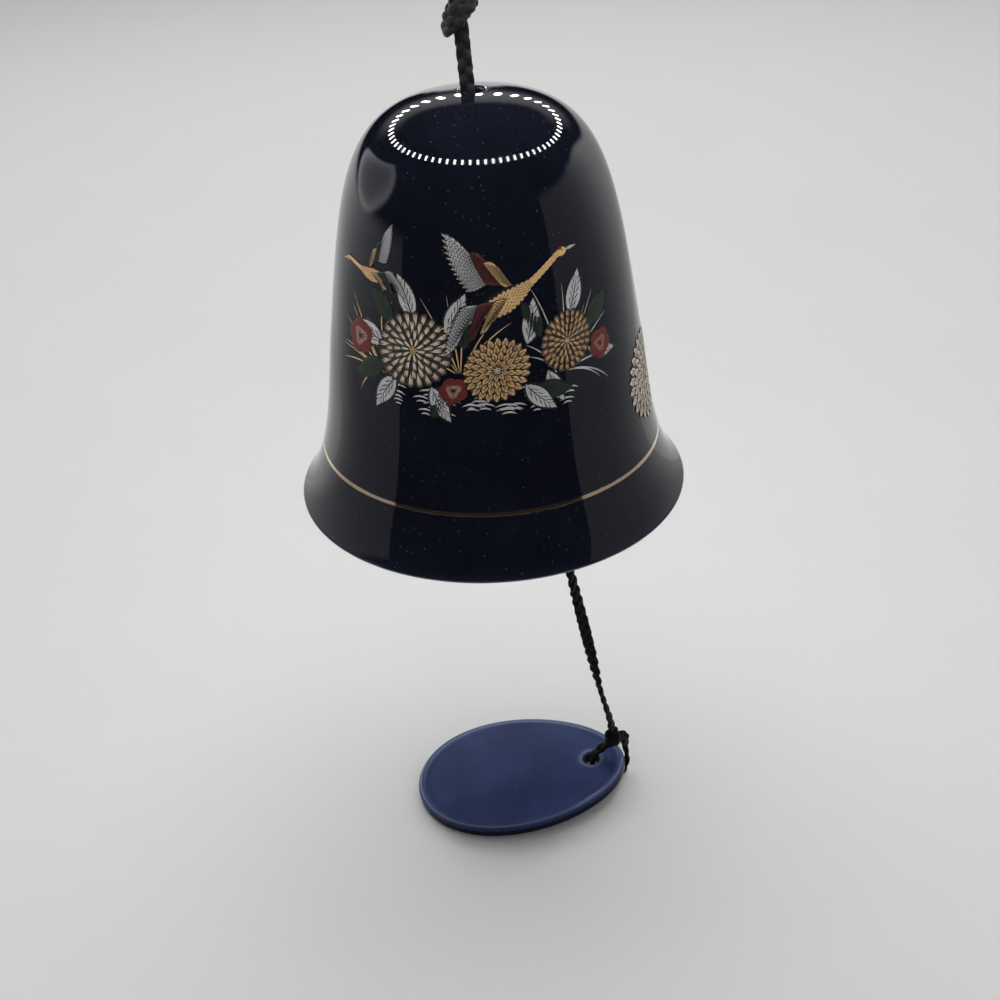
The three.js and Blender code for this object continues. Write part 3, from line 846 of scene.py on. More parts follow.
def plait(path, across, cord):
    """Three-strand flat plait along a path. Strand k weaves from side to side as a sine with a share of
    its third harmonic, and over and under as a sine of twice the phase, a third of a stitch on from the
    last. Each strand is an oval tube whose surface swells with the lay of its yarns, closed at its ends."""
    length = step_lengths(path).sum()
    share = np.linspace(0, 1, len(path))
    along = unit(np.gradient(path, axis=0))
    across = square(across, along)
    above = np.cross(along, across)
    sway = (1 - STRAND_WIDTH) / 2 * cord.width
    rise = (1 - STRAND_THICKNESS) / 2 * cord.thickness
    turn = circle(STRAND_SIDES)[None]
    relief = 1 + YARN_RELIEF * np.cos(YARN_PLIES * turn - math.tau * (length / YARN_LAY) * share[:, None])
    ends = np.sqrt(np.clip(np.minimum(share, 1 - share) * length / STRAND_END, 0, 1))
    reach = relief * ends[:, None]
    half_wide = (STRAND_WIDTH / 2 * cord.width * reach * np.cos(turn))[..., None]
    half_high = (STRAND_THICKNESS / 2 * cord.thickness * reach * np.sin(turn))[..., None]
    patches = []
    for strand in range(3):
        phase = math.tau * (length / cord.stitch * share + strand / 3)
        weave = sway * (np.sin(phase) + WEAVE_THIRD * np.sin(3 * phase)) / (1 - WEAVE_THIRD)
        middle = path + across * weave[:, None] + above * (rise * np.sin(2 * phase))[:, None]
        run = unit(np.gradient(middle, axis=0))
        wide = square(across, run)
        tube = middle[:, None] + wide[:, None] * half_wide + np.cross(run, wide)[:, None] * half_high
        vertices, quads, places = grid(tube, wrap_columns=True)
        patches.append((vertices, quads, places * np.array([1.0, length / UV_LENGTH])))
    return patches


def cord_piece(name, patches):
    """Piece of plait in its yarn."""
    return piece(name, joined(patches), [bpy.data.materials["plait_fibre"]])


def twisted(along, across, turn):
    """Across directions turned about the path by an angle at each point."""
    turn = turn[:, None]
    return across * np.cos(turn) + np.cross(along, across) * np.sin(turn)


def eased(distance, values):
    """Values given at the twist's spots, at other distances, smoothed by a moving mean."""
    straight_lines = np.interp(distance, TWIST_SPOTS, values)
    window = np.ones(2 * TWIST_EASE + 1) / (2 * TWIST_EASE + 1)
    return np.convolve(np.pad(straight_lines, TWIST_EASE, mode="edge"), window, "valid")


def straight(origin, down, reach, turning=False):
    """Straight run between two distances down a line, with its wide side to the front, or turning and
    straying as the tag's cord does."""
    distance = np.linspace(*reach, int((reach[1] - reach[0]) / STRAND_STEP))
    path, side = origin + distance[:, None] * down, beside(down)
    if turning:
        path = path + eased(distance, TWIST_STRAY)[:, None] * side
        side = twisted(down, side, eased(distance, TWIST_TURNS))
    return path, side


def make_knot(cord, node, body, origin, down, reach, width, turns, tilt, start, spread):
    """Knot between two distances down a line: the plait wound round it as a tilted helix with both ends
    drawn in to the middle, over a second, tighter winding that crosses it the other way."""
    share = np.linspace(0, 1, KNOT_POINTS)
    drawn = np.minimum(1, DRAWN_IN[0] + DRAWN_IN[1] * np.sin(math.pi * share))
    outer = (1, tilt, turns, start)
    inner = (INNER_REACH, INNER_TILT * tilt, INNER_TURNS, start + INNER_START)
    patches = []
    for size, slope, rounds, begin in (outer, inner):
        angle = begin + math.tau * rounds * share
        radius = size * (width - cord.thickness) / 2 * drawn
        depth = (reach[0] - reach[1]) * (0.5 + spread * (share - 0.5)) + slope * radius * np.cos(angle)
        local = np.stack([radius * np.cos(angle), radius * np.sin(angle), depth], axis=1)
        path = even_path(set_along(local, origin + reach[0] * down, down, beside(down)))
        patches += plait(path, -down, cord)
    return dress(cord_piece(node + "_plait", patches), body, "plait", node)


def make_cords(cord):
    """Plaited cords: the hanging loop, the neck through the crown, the clapper's cord, and the tag's cord
    with its knot and the loop round the tag's bridge."""
    plait_fibre(cord.color)
    loop_path = even_path(set_along(np.insert(LOOP_ROUTE, 1, 0, axis=1), HOOK, NECK_DOWN, beside(NECK_DOWN)))
    loop = cord_piece("hanging_loop_plait", plait(loop_path, np.array([0.0, 1.0, 0.0]), cord))
    bent(loop, "hanging_loop")
    neck = cord_piece("neck_plait", plait(*straight(HOOK, NECK_DOWN, NECK), cord))
    bent(neck, "neck_cord")
    clapper_path, side = straight(PIVOT, CORD_DOWN, CLAPPER_CORD)
    clapper_run = cord_piece("clapper_plait", plait(clapper_path, side, cord))
    bent(clapper_run, "clapper_cord")
    tag_path, side = straight(TAG_PIVOT, TAG_DOWN, TAG_CORD, True)
    tag_run = cord_piece("tag_plait", plait(tag_path, side, cord))
    bent(tag_run, "tag_cord")
    lower_knot = make_knot(cord, "tag_knot", "tag_hanger", TAG_PIVOT, TAG_DOWN, TAG_KNOT, *TAG_WINDING)
    ring = even_path(TAG_MIDDLE + TAG_LOOP_ROUTE @ np.stack([np.cross(TAG_SIDE, UP), TAG_SIDE, UP]))
    turn = LOOP_TURN * (1 - ease(*LOOP_TURN_END, np.linspace(0, 1, len(ring))))
    side = twisted(unit(np.gradient(ring, axis=0)), TAG_SIDE, turn)
    lower_loop = cord_piece("tag_loop_plait", plait(ring, side, cord))
    dress(lower_loop, "tag_hanger", "plait", "tag_loop")


def make_knots(cord):
    """Knots above the bell, under its crown and under the clapper."""
    under = AXIS + (BELL_HIGH[2] - BELL_LOW[2] - WALL) * UP
    make_knot(cord, "top_knot", "top_knot", HOOK, NECK_DOWN, TOP_KNOT, *TOP_WINDING)
    make_knot(cord, "stop_knot", "stop_knot", under, -UP, STOP_KNOT, *STOP_WINDING)
    make_knot(cord, "clapper_knot", "clapper_line", PIVOT, CORD_DOWN, CLAPPER_KNOT, *CLAPPER_WINDING)


CLAPPER_SIDES = 128
BORE = 2.1 * MM
BORE_EDGE = 1.0 * MM
BORE_THIN = 1.2 * MM


def make_clapper(bead):
    """Clapper bead: an oval turned round its bore, with rounded bore edges, set on the leaning cord."""
    radius, half = bead.diameter / 2, bead.height / 2
    end = math.acos((BORE + BORE_EDGE) / radius)
    angle = np.linspace(-end, end, 80)
    profile = np.concatenate([
        np.stack([radius * np.cos(angle), half / math.sin(end) * np.sin(angle)], axis=1),
        arc((BORE + BORE_EDGE, half - BORE_EDGE), BORE_EDGE, math.pi / 2, math.pi, 10)[1:],
        arc((BORE + BORE_EDGE, BORE_EDGE - half), BORE_EDGE, math.pi, 1.5 * math.pi, 10)[:-1],
    ])
    local = turned(profile, CLAPPER_SIDES) - half * UP
    points = set_along(local, PIVOT + CLAPPER_TOP * CORD_DOWN, CORD_DOWN, beside(CORD_DOWN))
    thin = np.repeat(bump(profile[:, 0], BORE, BORE_THIN), CLAPPER_SIDES)
    finish = glaze("clapper_glaze", bead.glaze_color, bead.edge_color)
    made = piece("clapper_bead", grid(points, True, True), [finish], None, thin)
    dress(made, "clapper", "clapper_glaze", "clapper")


def egg(tag, angle, inset=0.0):
    """Egg outline: an ellipse whose width shrinks towards its tip by a cosine share, moved in along its
    normal by an inset."""
    swell = 1 - tag.bluntness * np.cos(angle)
    x = tag.length / 2 * np.cos(angle)
    y = tag.width / 2 * np.sin(angle) * swell
    slope_x = -tag.length / 2 * np.sin(angle)
    slope_y = tag.width / 2 * (np.cos(angle) * swell + tag.bluntness * np.sin(angle) ** 2)
    run = np.hypot(slope_x, slope_y)
    return np.stack([x - inset * slope_y / run, y + inset * slope_x / run], axis=-1)


# Tag: points round it, rings of half its hole, its face and its edge, steps of its outline, the roundings
# of its hole and lower edge, and the soft bead along its upper edge
TAG_SIDES = 224
HOLE_RINGS = 8
FACE_RINGS = 34
EDGE_RINGS = 26
OUTLINE_STEPS = 4000
HOLE_EDGE = 0.8 * MM
LOWER_ROUND = 1.6 * MM
BEAD = 0.05 * MM
BEAD_WIDTH = 1.6 * MM

# Shares of thin glaze and painted highlight on the tag: thin glaze in its hole and round it on the face, thin
# glaze along the rim with its width, each with what the far side adds as painted highlight, painted light on
# the far face, and a painted highlight line on the edge at an angle, with its width there
HOLE_SHARE = 0.5
HOLE_RIM = (0.45, 0.0, 0.6 * MM)
RIM_THIN_AND_HIGHLIGHT = (0.1, 0.8)
RIM_WIDTH = (0.3 * MM, 0.8 * MM)
FAR_PAINTED_LIGHT = 0.03
EDGE_HIGHLIGHT = (0.36, 0.6)
EDGE_HIGHLIGHT_PLACE = (1.05, 0.28)

# Painted shade on the tag: a dark band inside the near rim, a darker oval on the face as a painted reflection
# of the dark bell, the underside darker towards its outer edge, and the side darker between two angles
NEAR_RIM_SHADE = (0.35, 1.3 * MM, 0.7 * MM)
BELL_REFLECTION_SHADE = 0.14
BELL_REFLECTION_MIDDLE = (-3.3 * MM, -7.5 * MM)
BELL_REFLECTION_HALVES = (15 * MM, 9 * MM)
UNDER_SHADE = 0.8
SIDE_SHADE = (-0.9, 0.1)


def make_tag(tag):
    """Tag: a closed band from the hole's wall over the face to the rounded edge and back beneath. The
    face is a blend from the hole's circle to the egg, both taken at the same direction from the hole,
    swelling very slightly towards a soft bead along the edge."""
    half, hole = tag.thickness / 2, tag.hole_diameter / 2
    centre = np.array([tag.length / 2 - tag.hole_margin, 0.0])
    fine = circle(OUTLINE_STEPS)
    ray = np.arctan2(*(egg(tag, fine) - centre).T[::-1])
    order = np.argsort(ray)
    around = np.linspace(-math.pi, math.pi, TAG_SIDES, endpoint=False)
    spot = np.interp(around, ray[order], np.unwrap(fine[order], period=math.tau), period=math.tau)
    compass = np.stack([np.cos(around), np.sin(around)], axis=-1)
    # thin holds each ring's share: thin glaze and painted highlight above 0, painted shade below 0
    rows, thin = [], []

    def add(flat, level, share):
        """Adds a ring of points at a level, with its share, which carries thin glaze, painted highlight and
        painted shade.
        """
        rows.append(np.column_stack([flat, np.broadcast_to(level, TAG_SIDES)]))
        thin.append(np.broadcast_to(share, TAG_SIDES))

    def rounded(turn, curve):
        """Level on an edge that is rounded by a curve, at an angle up or down from its middle."""
        return (half - curve) * np.sign(turn) + curve * math.sin(turn)

    def add_hole(start, end, share):
        """Adds the rings of half the hole's wall."""
        for turn in np.linspace(start, end, HOLE_RINGS):
            flat = centre + (hole + HOLE_EDGE + HOLE_EDGE * math.cos(turn)) * compass
            add(flat, rounded(turn, HOLE_EDGE), share * math.sin(turn) ** 2)

    def farness(flat):
        """Share of the way across the tag to its far side."""
        return ease(-tag.width / 2, tag.width / 2, flat[:, 1])

    add_hole(math.pi, math.pi / 2, HOLE_SHARE)
    share = (1 - np.cos(np.linspace(0, math.pi, FACE_RINGS)[1:-1])) / 2
    inner, outer = centre + (hole + HOLE_EDGE) * compass, egg(tag, spot, tag.edge_round)
    across = np.linalg.norm(outer - inner, axis=1)
    far = farness(outer)
    for part in share:
        inset = (1 - part) * across
        flat = inner + part * (outer - inner)
        # Thin glaze along the rim, plus a painted highlight that grows wider and stronger towards the far
        # side
        rim_width = RIM_WIDTH[0] + RIM_WIDTH[1] * far ** 2
        rim = (RIM_THIN_AND_HIGHLIGHT[0] + RIM_THIN_AND_HIGHLIGHT[1] * far ** 2) * bump(inset, 0, rim_width)
        # Painted shade: a dark band inside the rim on the near side
        near_rim_shade = (1 - far) * swell(inset, *NEAR_RIM_SHADE)
        # Painted reflection of the dark bell: a darker oval on the face
        bell_reflection = BELL_REFLECTION_SHADE * bump(flat, BELL_REFLECTION_MIDDLE, BELL_REFLECTION_HALVES).prod(axis=1)
        # Thin glaze round the hole, thin glaze and painted highlight at the rim, and painted light towards
        # the far side
        thin_glaze_and_highlight = swell(part * across, *HOLE_RIM) + rim + FAR_PAINTED_LIGHT * farness(flat)
        add(flat, half - BEAD + BEAD * bump(inset, 0, BEAD_WIDTH), thin_glaze_and_highlight - near_rim_shade - bell_reflection)
    for turn in np.linspace(math.pi / 2, -math.pi / 2, EDGE_RINGS):
        curve = tag.edge_round if turn > 0 else LOWER_ROUND
        # Painted highlight: a pale line along the edge's rounding, stronger on the far side
        line = (EDGE_HIGHLIGHT[0] + EDGE_HIGHLIGHT[1] * far) * bump(turn, *EDGE_HIGHLIGHT_PLACE)
        flat = egg(tag, spot, curve * (1 - math.cos(turn)))
        # Painted shade: the side darker and less shiny from below its top rounding down to the foot
        add(flat, rounded(turn, curve), line - ease(*SIDE_SHADE, -turn))
    outer = egg(tag, spot, LOWER_ROUND)
    for part in share[::-3]:
        # Painted shade: the underside darker towards its outer edge
        add(inner + part * (outer - inner), -half, -UNDER_SHADE * part)
    add_hole(-math.pi / 2, -math.pi, 0)
    local = np.stack(rows)
    local[..., 0] += (tag.hole_margin - hole) / 2 - tag.length / 2
    ahead = math.cos(TAG_TILT) * np.cross(TAG_SIDE, UP) + math.sin(TAG_TILT) * UP
    points = TAG_MIDDLE + local @ np.stack([ahead, TAG_SIDE, np.cross(ahead, TAG_SIDE)])
    finish = glaze("tag_glaze", tag.glaze_color, tag.edge_color, dull=0.14, shine=0.36)
    made = piece("tag_plate", grid(points, True, True), [finish], None, np.stack(thin))
    dress(made, "tag", "tag_glaze", "tag")


# Studio: a curved white screen round the sides and, farther off, the back, unseen by the camera, with
# heights over the rim, the floor as reflections show it, the room, a soft lamp and a ring of small lamps
SCREEN_RADIUS = 200 * MM
SCREEN_BACK = 500 * MM
SCREEN_HEIGHT = 430 * MM
SCREEN_ENDS = (math.radians(51), math.radians(301.3))
SCREEN_COLUMNS = 160
SCREEN_ROWS = 110
SHEET_MIDDLE = (math.radians(253), 145 * MM)
SHEET_HALVES = (math.radians(30), 66 * MM)
SHEET_EDGE = (0.75, 1.1)
SHEET_GLOW = (0.5, 1.1)
FLOOR_MIDDLE = 160 * MM
FLOOR_REACH = 412 * MM
FLOOR_HALF = 4
ROOM_FALL = (-0.9, 0.1, 0.9, 1.0)
ROOM_SHOWN = 0.72
LAMP_PLACE = (0.0, 0.65, 0.6)
LAMP_WIDTH = 1.3
LAMP_COUNT = 52
LAMP_ROWS = (0.955, 1.0, 1.045)
LAMP_MIDDLE = np.array([2.96, 24.0, 149.5]) * MM
LAMP_HALVES = np.array([89.6, 93.4]) * MM
LAMP_TILT = math.radians(-9.5)
LAMP_SIZE = 2.3 * MM

# Screen's brightness, left before right, by degrees from the back and heights over the rim: base and swell
# at its foot, the growth upwards for each metre with its place and start, which is put off on the right
# past an angle, and the glow straight behind with its own growth
FOOT_BASES = (0.23, 0.245)
FOOT_SWELLS = ((0.54, 38, 27), (0.28, 43, 33))
GROWTH_RATES = (3.8, 3.3)
GROWTH_PLACE = (70, 33)
GROWTH_START = -30 * MM
GROWTH_DELAY = (2 * MM, 60)
BEHIND = (0.6, 0, 20)
BEHIND_GROWTH = (0.6, 4)

# Screen's soft top: its levels, a peak near the middle by the angle from the front, a step and a swell on
# the right, its softness with what the back adds, and the strip above with the angle and width of its ends
TOP_LEVELS = (85 * MM, 118 * MM)
PEAK = (181.8, 5.8)
PEAK_RISES = (110 * MM, 85 * MM)
TOP_STEP = 27 * MM
TOP_STEP_SPAN = (12, 30)
TOP_SWELL = (65 * MM, 64, 20)
TOP_SOFTNESS = (12 * MM, 14 * MM)
STRIP = 0.45
STRIP_PLACE = (325 * MM, 85 * MM)
STRIP_ENDS = (50, 20)


def glow(name, strength, shared=False):
    """White glow, even or times the number that each vertex carries."""
    finish = Finish(name)
    finish.nodes.remove(finish.shader)
    if shared:
        strength = finish.combine("MULTIPLY", finish.share(), strength)
    return finish.surface(finish.add("Emission", Strength=strength).outputs["Emission"])


def make_floor(studio, level):
    """Pale paper floor, see-through from below. In reflections it ends in front of the object, where the
    room is dark."""
    finish = Finish("floor_paper", Roughness=0.9, Specular_IOR_Level=0.1)
    where = finish.coordinates()
    pale = studio.floor_color
    mottled = finish.blend(finish.noise(where, 14.0, 4.0), rgba(pale, 0.97), rgba(pale))
    finish.feed(finish.shader, "Base Color", mottled)
    middle = (AXIS[0], FLOOR_MIDDLE, level)
    reach = finish.add("VectorMath", where, middle, operation="DISTANCE").outputs["Value"]
    outside = finish.combine("GREATER_THAN", reach, FLOOR_REACH)
    hidden = finish.combine("MULTIPLY", outside, finish.add("LightPath").outputs["Is Glossy Ray"])
    dark = finish.add("Emission", Strength=studio.room_dark).outputs["Emission"]
    either = finish.add("MixShader", hidden, finish.shader.outputs["BSDF"], dark).outputs["Shader"]
    below = finish.add("NewGeometry").outputs["Backfacing"]
    clear = finish.add("BsdfTransparent").outputs["BSDF"]
    paper = finish.surface(finish.add("MixShader", below, either, clear).outputs["Shader"])
    span = np.linspace(-FLOOR_HALF, FLOOR_HALF, 9)
    x, y = np.meshgrid(span, span)
    made = piece("floor", grid(np.stack([x, y, np.full_like(x, level)], axis=-1)), [paper])
    if made.data.polygons[0].normal.z < 0:
        made.data.flip_normals()


def plateau(values, middle, width):
    """Flat-topped curve: one in the middle, falling by the fourth power of the distance over the width."""
    return np.exp(-((values - middle) / width) ** 4)


def screen_glow(angle, height):
    """Brightness of the screen by the angle from the front and the height over the rim: it swells at the
    back and on each side of it and grows upwards to a soft top, lower on the left. A dimmer strip lies
    above at the back, and an oval sheet with bright borders hangs over the left side."""
    away = np.degrees(np.abs(angle - math.pi))
    left = angle > math.pi
    foot = [base + swell(away, *place) for base, place in zip(FOOT_BASES, FOOT_SWELLS)]
    delay = np.where(left, 0, GROWTH_DELAY[0] * np.maximum(0, away - GROWTH_DELAY[1]))
    growth = np.where(left, *GROWTH_RATES) * bump(away, *GROWTH_PLACE)
    behind = swell(away, *BEHIND) * (BEHIND_GROWTH[0] + BEHIND_GROWTH[1] * np.maximum(0, height))
    wall = np.where(left, *foot) + behind + growth * np.maximum(0, height - GROWTH_START - delay)
    peak = plateau(np.degrees(angle), *PEAK)
    left_top, right_top = (level + rise * peak for level, rise in zip(TOP_LEVELS, PEAK_RISES))
    right_top = right_top + TOP_STEP * ease(*TOP_STEP_SPAN, away) + swell(away, *TOP_SWELL)
    top = np.where(left, left_top, right_top)
    soft = TOP_SOFTNESS[0] + TOP_SOFTNESS[1] * np.maximum(0, -np.cos(angle)) ** 2
    middle = np.clip((STRIP_ENDS[0] - away) / STRIP_ENDS[1], 0, 1)
    strip = STRIP * middle * plateau(height, *STRIP_PLACE)
    across = (angle - SHEET_MIDDLE[0]) / SHEET_HALVES[0]
    oval = across ** 2 + ((height - SHEET_MIDDLE[1]) / SHEET_HALVES[1]) ** 2
    sheet = (1 - ease(*SHEET_EDGE, oval)) * (SHEET_GLOW[0] + SHEET_GLOW[1] * oval ** 2)
    return wall * (1 - ease(top - soft, top + soft, height)) + strip + sheet


def make_screen(studio, level):
    """White screen: an upright sheet bent round the sides and back, seen in reflections only."""
    angle = np.linspace(*SCREEN_ENDS, SCREEN_COLUMNS) + np.zeros((SCREEN_ROWS, 1))
    height = np.linspace(level - AXIS[2], SCREEN_HEIGHT, SCREEN_ROWS)[:, None] + 0 * angle
    radius = SCREEN_RADIUS + (SCREEN_BACK - SCREEN_RADIUS) * np.maximum(0, -np.cos(angle))
    points = AXIS + np.stack([radius * np.sin(angle), -radius * np.cos(angle), height], axis=-1)
    white = glow("screen_white", studio.screen, True)
    made = piece("screen", grid(points), [white], None, screen_glow(angle, height))
    made.visible_camera = False
    made.visible_diffuse = False
    made.visible_shadow = False


def make_lamps(studio):
    """Ring lamp: three rows of small eight-sided lamps on a tilted ellipse."""
    corners = np.array([(1, 0, 0), (0, 1, 0), (-1, 0, 0), (0, -1, 0)])
    angle = np.repeat(circle(LAMP_COUNT), len(LAMP_ROWS))
    scale = np.tile(LAMP_ROWS, LAMP_COUNT)
    x = LAMP_HALVES[0] * scale * np.sin(angle)
    y = -LAMP_HALVES[1] * scale * np.cos(angle)
    middle = AXIS + LAMP_MIDDLE + np.stack([x, y * math.cos(LAMP_TILT), y * math.sin(LAMP_TILT)], axis=-1)
    shape = np.stack([UP + 0 * corners, corners, 0 * corners - UP]) * LAMP_SIZE
    made = piece("ring_lamp", repeated(middle[:, None, None] + shape), [glow("lamp_white", studio.lamps)])
    made.visible_camera = False


def make_world(studio):
    """Room: pale where the camera sees it, dark in reflections, and soft light that falls off towards
    the front."""
    bpy.context.scene.world = bpy.data.worlds.new("studio_room")
    room = Finish(bpy.context.scene.world, "Background", Color=(1, 1, 1, 1))
    path = room.add("LightPath").outputs
    way = room.add("SeparateXYZ", room.coordinates("Generated")).outputs["Y"]
    light = room.combine("MULTIPLY", room.span(way, *ROOM_FALL), studio.room_light)
    seen = room.add("Mix", path["Is Glossy Ray"], light, studio.room_dark).outputs["Result"]
    shown = room.add("Mix", path["Is Camera Ray"], seen, ROOM_SHOWN).outputs["Result"]
    room.feed(room.shader, "Strength", shown)


def make_camera(studio):
    """Camera at the photograph's place, pitched down and rolled a little."""
    ahead = np.array([0, math.cos(CAMERA_PITCH), -math.sin(CAMERA_PITCH)])
    above = np.array([0, math.sin(CAMERA_PITCH), math.cos(CAMERA_PITCH)])
    across = np.array([1.0, 0, 0])
    right = math.cos(CAMERA_ROLL) * across + math.sin(CAMERA_ROLL) * above
    upward = -math.sin(CAMERA_ROLL) * across + math.cos(CAMERA_ROLL) * above
    lens = bpy.data.cameras.new("photo_camera")
    lens.sensor_width = CAMERA_SENSOR
    lens.sensor_fit = "HORIZONTAL"
    lens.lens = studio.lens
    lens.clip_start = CAMERA_NEAREST
    camera = bpy.data.objects.new("photo_camera", lens)
    columns = np.column_stack([right, upward, -ahead, AXIS + CAMERA_PLACE])
    camera.matrix_world = Matrix((*columns.tolist(), (0, 0, 0, 1)))
    bpy.context.scene.collection.objects.link(camera)
    bpy.context.scene.camera = camera


def make_soft_lamp(studio):
    """Soft lamp above and behind, unseen in reflections."""
    lamp = bpy.data.lights.new("soft_lamp", "AREA")
    lamp.size = LAMP_WIDTH
    lamp.energy = studio.lamp_power
    made = bpy.data.objects.new("soft_lamp", lamp)
    made.location = LAMP_PLACE
    made.visible_camera = False
    made.visible_glossy = False
    bpy.context.scene.collection.objects.link(made)


def amount(name, description, default, **limits):
    """Property for a number that isn't under 0 unless its limits say so."""
    return FloatProperty(name=name, description=description, default=default, **{"min": 0.0} | limits)


def length(name, description, default):
    """Property for a size in metres."""
    return amount(name, description, default, unit="LENGTH", precision=5)


def colour(name, description, default):
    """Property for a colour."""
    return FloatVectorProperty(
        name=name, description=description, default=default, size=3, min=0.0, max=1.0, subtype="COLOR"
    )


class BellSettings(bpy.types.PropertyGroup):
    """Sizes and colours of the bell shell and its gilt line."""

    rim_diameter: length("Rim diameter", "Width across the lip", float(BELL_HIGH[0] - BELL_LOW[0]))
    height: length("Height", "Height of the bell from lip to crown", float(BELL_HIGH[2] - BELL_LOW[2]))
    wall: length("Wall", "Thickness of the bell's wall", WALL)
    body_diameter: length("Body diameter", "Width of the body where flare and dome meet", 68.4 * MM)
    body_level: length("Body level", "Height where flare and dome meet", 39 * MM)
    gilt_level: length("Gilt line level", "Height of the gilt line above the rim", 13.3 * MM)
    gilt_width: length("Gilt line width", "Width of the gilt line", 0.75 * MM)
    glaze_color: colour("Glaze", "Near-black cobalt glaze", (0.0056, 0.0066, 0.0128))
    edge_color: colour("Glaze on edges", "Glaze where it runs thin", (0.012, 0.014, 0.035))
    gilt_color: colour("Gilding", "Fired gold", (1.0, 0.77, 0.56))


class PrintSettings(bpy.types.PropertyGroup):
    """Inks of the print."""

    gold: colour("Gold", "Gold lustre", (0.9, 0.57, 0.25))
    silver: colour("Silver", "Silver lustre", (0.64, 0.64, 0.64))
    brown: colour("Brown", "Brown enamel", (0.095, 0.052, 0.026))
    maroon: colour("Maroon", "Maroon enamel", (0.17, 0.022, 0.018))
    green: colour("Green", "Dark green enamel", (0.022, 0.045, 0.024))
    cream: colour("Cream", "Cream enamel", (0.86, 0.75, 0.58))
    shade: colour("Shade", "Near-black between the other inks", (0.006, 0.006, 0.012))


class CordSettings(bpy.types.PropertyGroup):
    """Size and colour of the plaited cord."""

    width: length("Width", "Wide side of the plait", 3 * MM)
    thickness: length("Thickness", "Narrow side of the plait", 1.5 * MM)
    stitch: length("Stitch", "Length in which a strand crosses and comes back", 9.5 * MM)
    color: colour("Yarn", "Black yarn", (0.0056, 0.0049, 0.0063))


class ClapperSettings(bpy.types.PropertyGroup):
    """Size and colour of the clapper bead."""

    diameter: length("Diameter", "Width of the bead", 21 * MM)
    height: length("Height", "Height of the bead", 18 * MM)
    glaze_color: colour("Glaze", "Cobalt glaze", (0.008, 0.013, 0.06))
    edge_color: colour("Glaze on edges", "Glaze where it runs thin", (0.10, 0.14, 0.26))


class TagSettings(bpy.types.PropertyGroup):
    """Sizes and colours of the tag."""

    length: length("Length", "Length of the tag", 58.4 * MM)
    width: length("Width", "Width of the tag", 41.6 * MM)
    thickness: length("Thickness", "Thickness of the tag", 4 * MM)
    edge_round: length("Edge round", "Radius of the tag's edge", 1.5 * MM)
    hole_margin: length("Hole margin", "Distance from the tip to the hole's centre", 9.3 * MM)
    hole_diameter: length("Hole", "Width of the cord's hole", 4.4 * MM)
    bluntness: amount(
        "Bluntness", "How much wider the far end is than the tip", 0.11, max=0.4, subtype="FACTOR"
    )
    glaze_color: colour("Glaze", "Cobalt glaze", (0.028, 0.043, 0.13))
    # On the tag this colour also paints the highlights along the rim and the edge and the painted light on
    # the far face
    edge_color: colour("Glaze on edges", "Glaze where it runs thin", (0.2, 0.24, 0.36))


class StudioSettings(bpy.types.PropertyGroup):
    """Floor, light and lens."""

    floor_color: colour("Floor", "Pale floor", (0.78, 0.78, 0.775))
    lens: amount("Lens", "Focal length", 43.2, min=10, unit="CAMERA")
    screen: amount("Screen", "Brightness of the white screen", 1.0)
    lamps: amount("Ring lamp", "Brightness of each small lamp", 40.0)
    lamp_power: amount("Soft lamp", "Power of the lamp above", 5.5, unit="POWER")
    room_light: amount("Room light", "Even light of the room", 0.45)
    room_dark: amount("Room in reflections", "Room as glaze shows it", 0.016)


class WINDBELL_OT_stage(bpy.types.Operator):
    """Makes the camera, the floor and the studio light"""

    bl_idname = "windbell.make_stage"
    bl_label = "Stage"

    def execute(self, context):
        studio = context.scene.windbell_studio
        level = min(float(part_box("tag_loop")[0][2]), float(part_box("tag")[0][2]))
        make_camera(studio)
        make_world(studio)
        make_floor(studio, level)
        make_screen(studio, level)
        make_lamps(studio)
        make_soft_lamp(studio)
        return {"FINISHED"}


class WINDBELL_OT_cords(bpy.types.Operator):
    """Makes the hanging loop, the neck, the clapper's cord and the tag's cord"""

    bl_idname = "windbell.make_cords"
    bl_label = "Cords"

    def execute(self, context):
        make_cords(context.scene.windbell_cord)
        return {"FINISHED"}


class WINDBELL_OT_knots(bpy.types.Operator):
    """Makes the knots above the bell, under its crown and under the clapper"""

    bl_idname = "windbell.make_knots"
    bl_label = "Knots"

    def execute(self, context):
        make_knots(context.scene.windbell_cord)
        return {"FINISHED"}


class WINDBELL_OT_bell(bpy.types.Operator):
    """Makes the glazed bell shell"""

    bl_idname = "windbell.make_bell"
    bl_label = "Bell"

    def execute(self, context):
        make_bell(context.scene.windbell_shell)
        return {"FINISHED"}


class WINDBELL_OT_gilt_line(bpy.types.Operator):
    """Makes the gilt line round the flare"""

    bl_idname = "windbell.make_gilt_line"
    bl_label = "Gilt line"

    def execute(self, context):
        make_gilt_line(context.scene.windbell_shell)
        return {"FINISHED"}


class WINDBELL_OT_print(bpy.types.Operator):
    """Makes the printed flowers and cranes"""

    bl_idname = "windbell.make_print"
    bl_label = "Print"

    def execute(self, context):
        make_print(context.scene.windbell_shell, context.scene.windbell_print)
        return {"FINISHED"}


class WINDBELL_OT_clapper(bpy.types.Operator):
    """Makes the clapper bead"""

    bl_idname = "windbell.make_clapper"
    bl_label = "Clapper"

    def execute(self, context):
        make_clapper(context.scene.windbell_clapper)
        return {"FINISHED"}


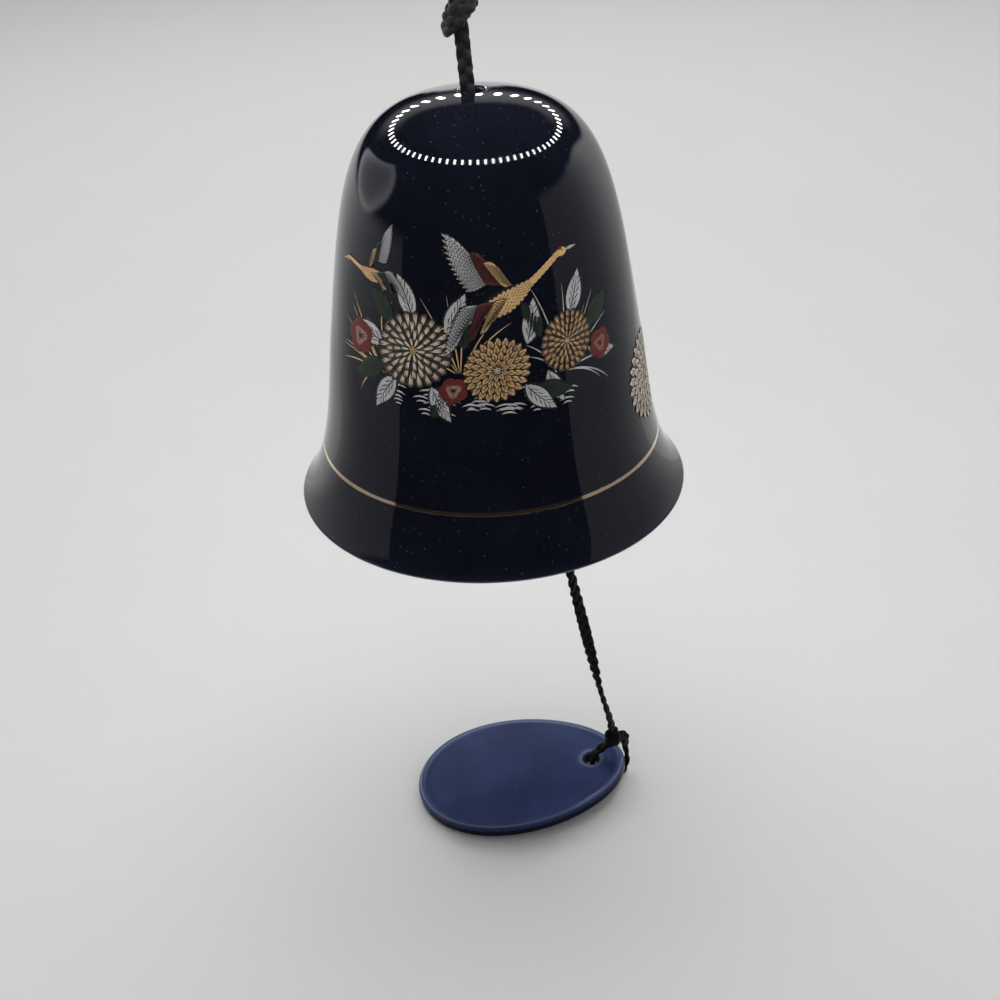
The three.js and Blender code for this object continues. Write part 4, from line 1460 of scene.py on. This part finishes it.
class WINDBELL_OT_tag(bpy.types.Operator):
    """Makes the glazed tag"""

    bl_idname = "windbell.make_tag"
    bl_label = "Tag"

    def execute(self, context):
        make_tag(context.scene.windbell_tag)
        return {"FINISHED"}


SETTINGS = {
    "windbell_shell": BellSettings,
    "windbell_print": PrintSettings,
    "windbell_cord": CordSettings,
    "windbell_clapper": ClapperSettings,
    "windbell_tag": TagSettings,
    "windbell_studio": StudioSettings,
}
OPERATORS = (
    WINDBELL_OT_stage, WINDBELL_OT_cords, WINDBELL_OT_knots, WINDBELL_OT_bell, WINDBELL_OT_gilt_line,
    WINDBELL_OT_print, WINDBELL_OT_clapper, WINDBELL_OT_tag,
)


class WINDBELL_PT_panel(bpy.types.Panel):
    """Lists the wind bell's settings and pieces"""

    bl_idname = "WINDBELL_PT_panel"
    bl_label = "Wind Bell"
    bl_space_type = "VIEW_3D"
    bl_region_type = "UI"
    bl_category = "Wind Bell"

    def draw(self, context):
        for name, group in SETTINGS.items():
            box = self.layout.box()
            for setting in group.__annotations__:
                box.prop(getattr(context.scene, name), setting)
        for operator in OPERATORS:
            self.layout.operator(operator.bl_idname)


def register():
    for group in SETTINGS.values():
        bpy.utils.register_class(group)
    for operator in OPERATORS:
        bpy.utils.register_class(operator)
    bpy.utils.register_class(WINDBELL_PT_panel)
    for name, group in SETTINGS.items():
        setattr(bpy.types.Scene, name, PointerProperty(type=group))


def unregister():
    for name in SETTINGS:
        delattr(bpy.types.Scene, name)
    bpy.utils.unregister_class(WINDBELL_PT_panel)
    for operator in reversed(OPERATORS):
        bpy.utils.unregister_class(operator)
    for group in reversed(list(SETTINGS.values())):
        bpy.utils.unregister_class(group)


def main():
    register()
    bpy.context.scene.view_settings.view_transform = "Standard"
    bpy.ops.windbell.make_stage()
    bpy.ops.windbell.make_cords()
    bpy.ops.windbell.make_knots()
    bpy.ops.windbell.make_bell()
    bpy.ops.windbell.make_gilt_line()
    bpy.ops.windbell.make_print()
    bpy.ops.windbell.make_clapper()
    bpy.ops.windbell.make_tag()


if __name__ == "__main__":
    main()
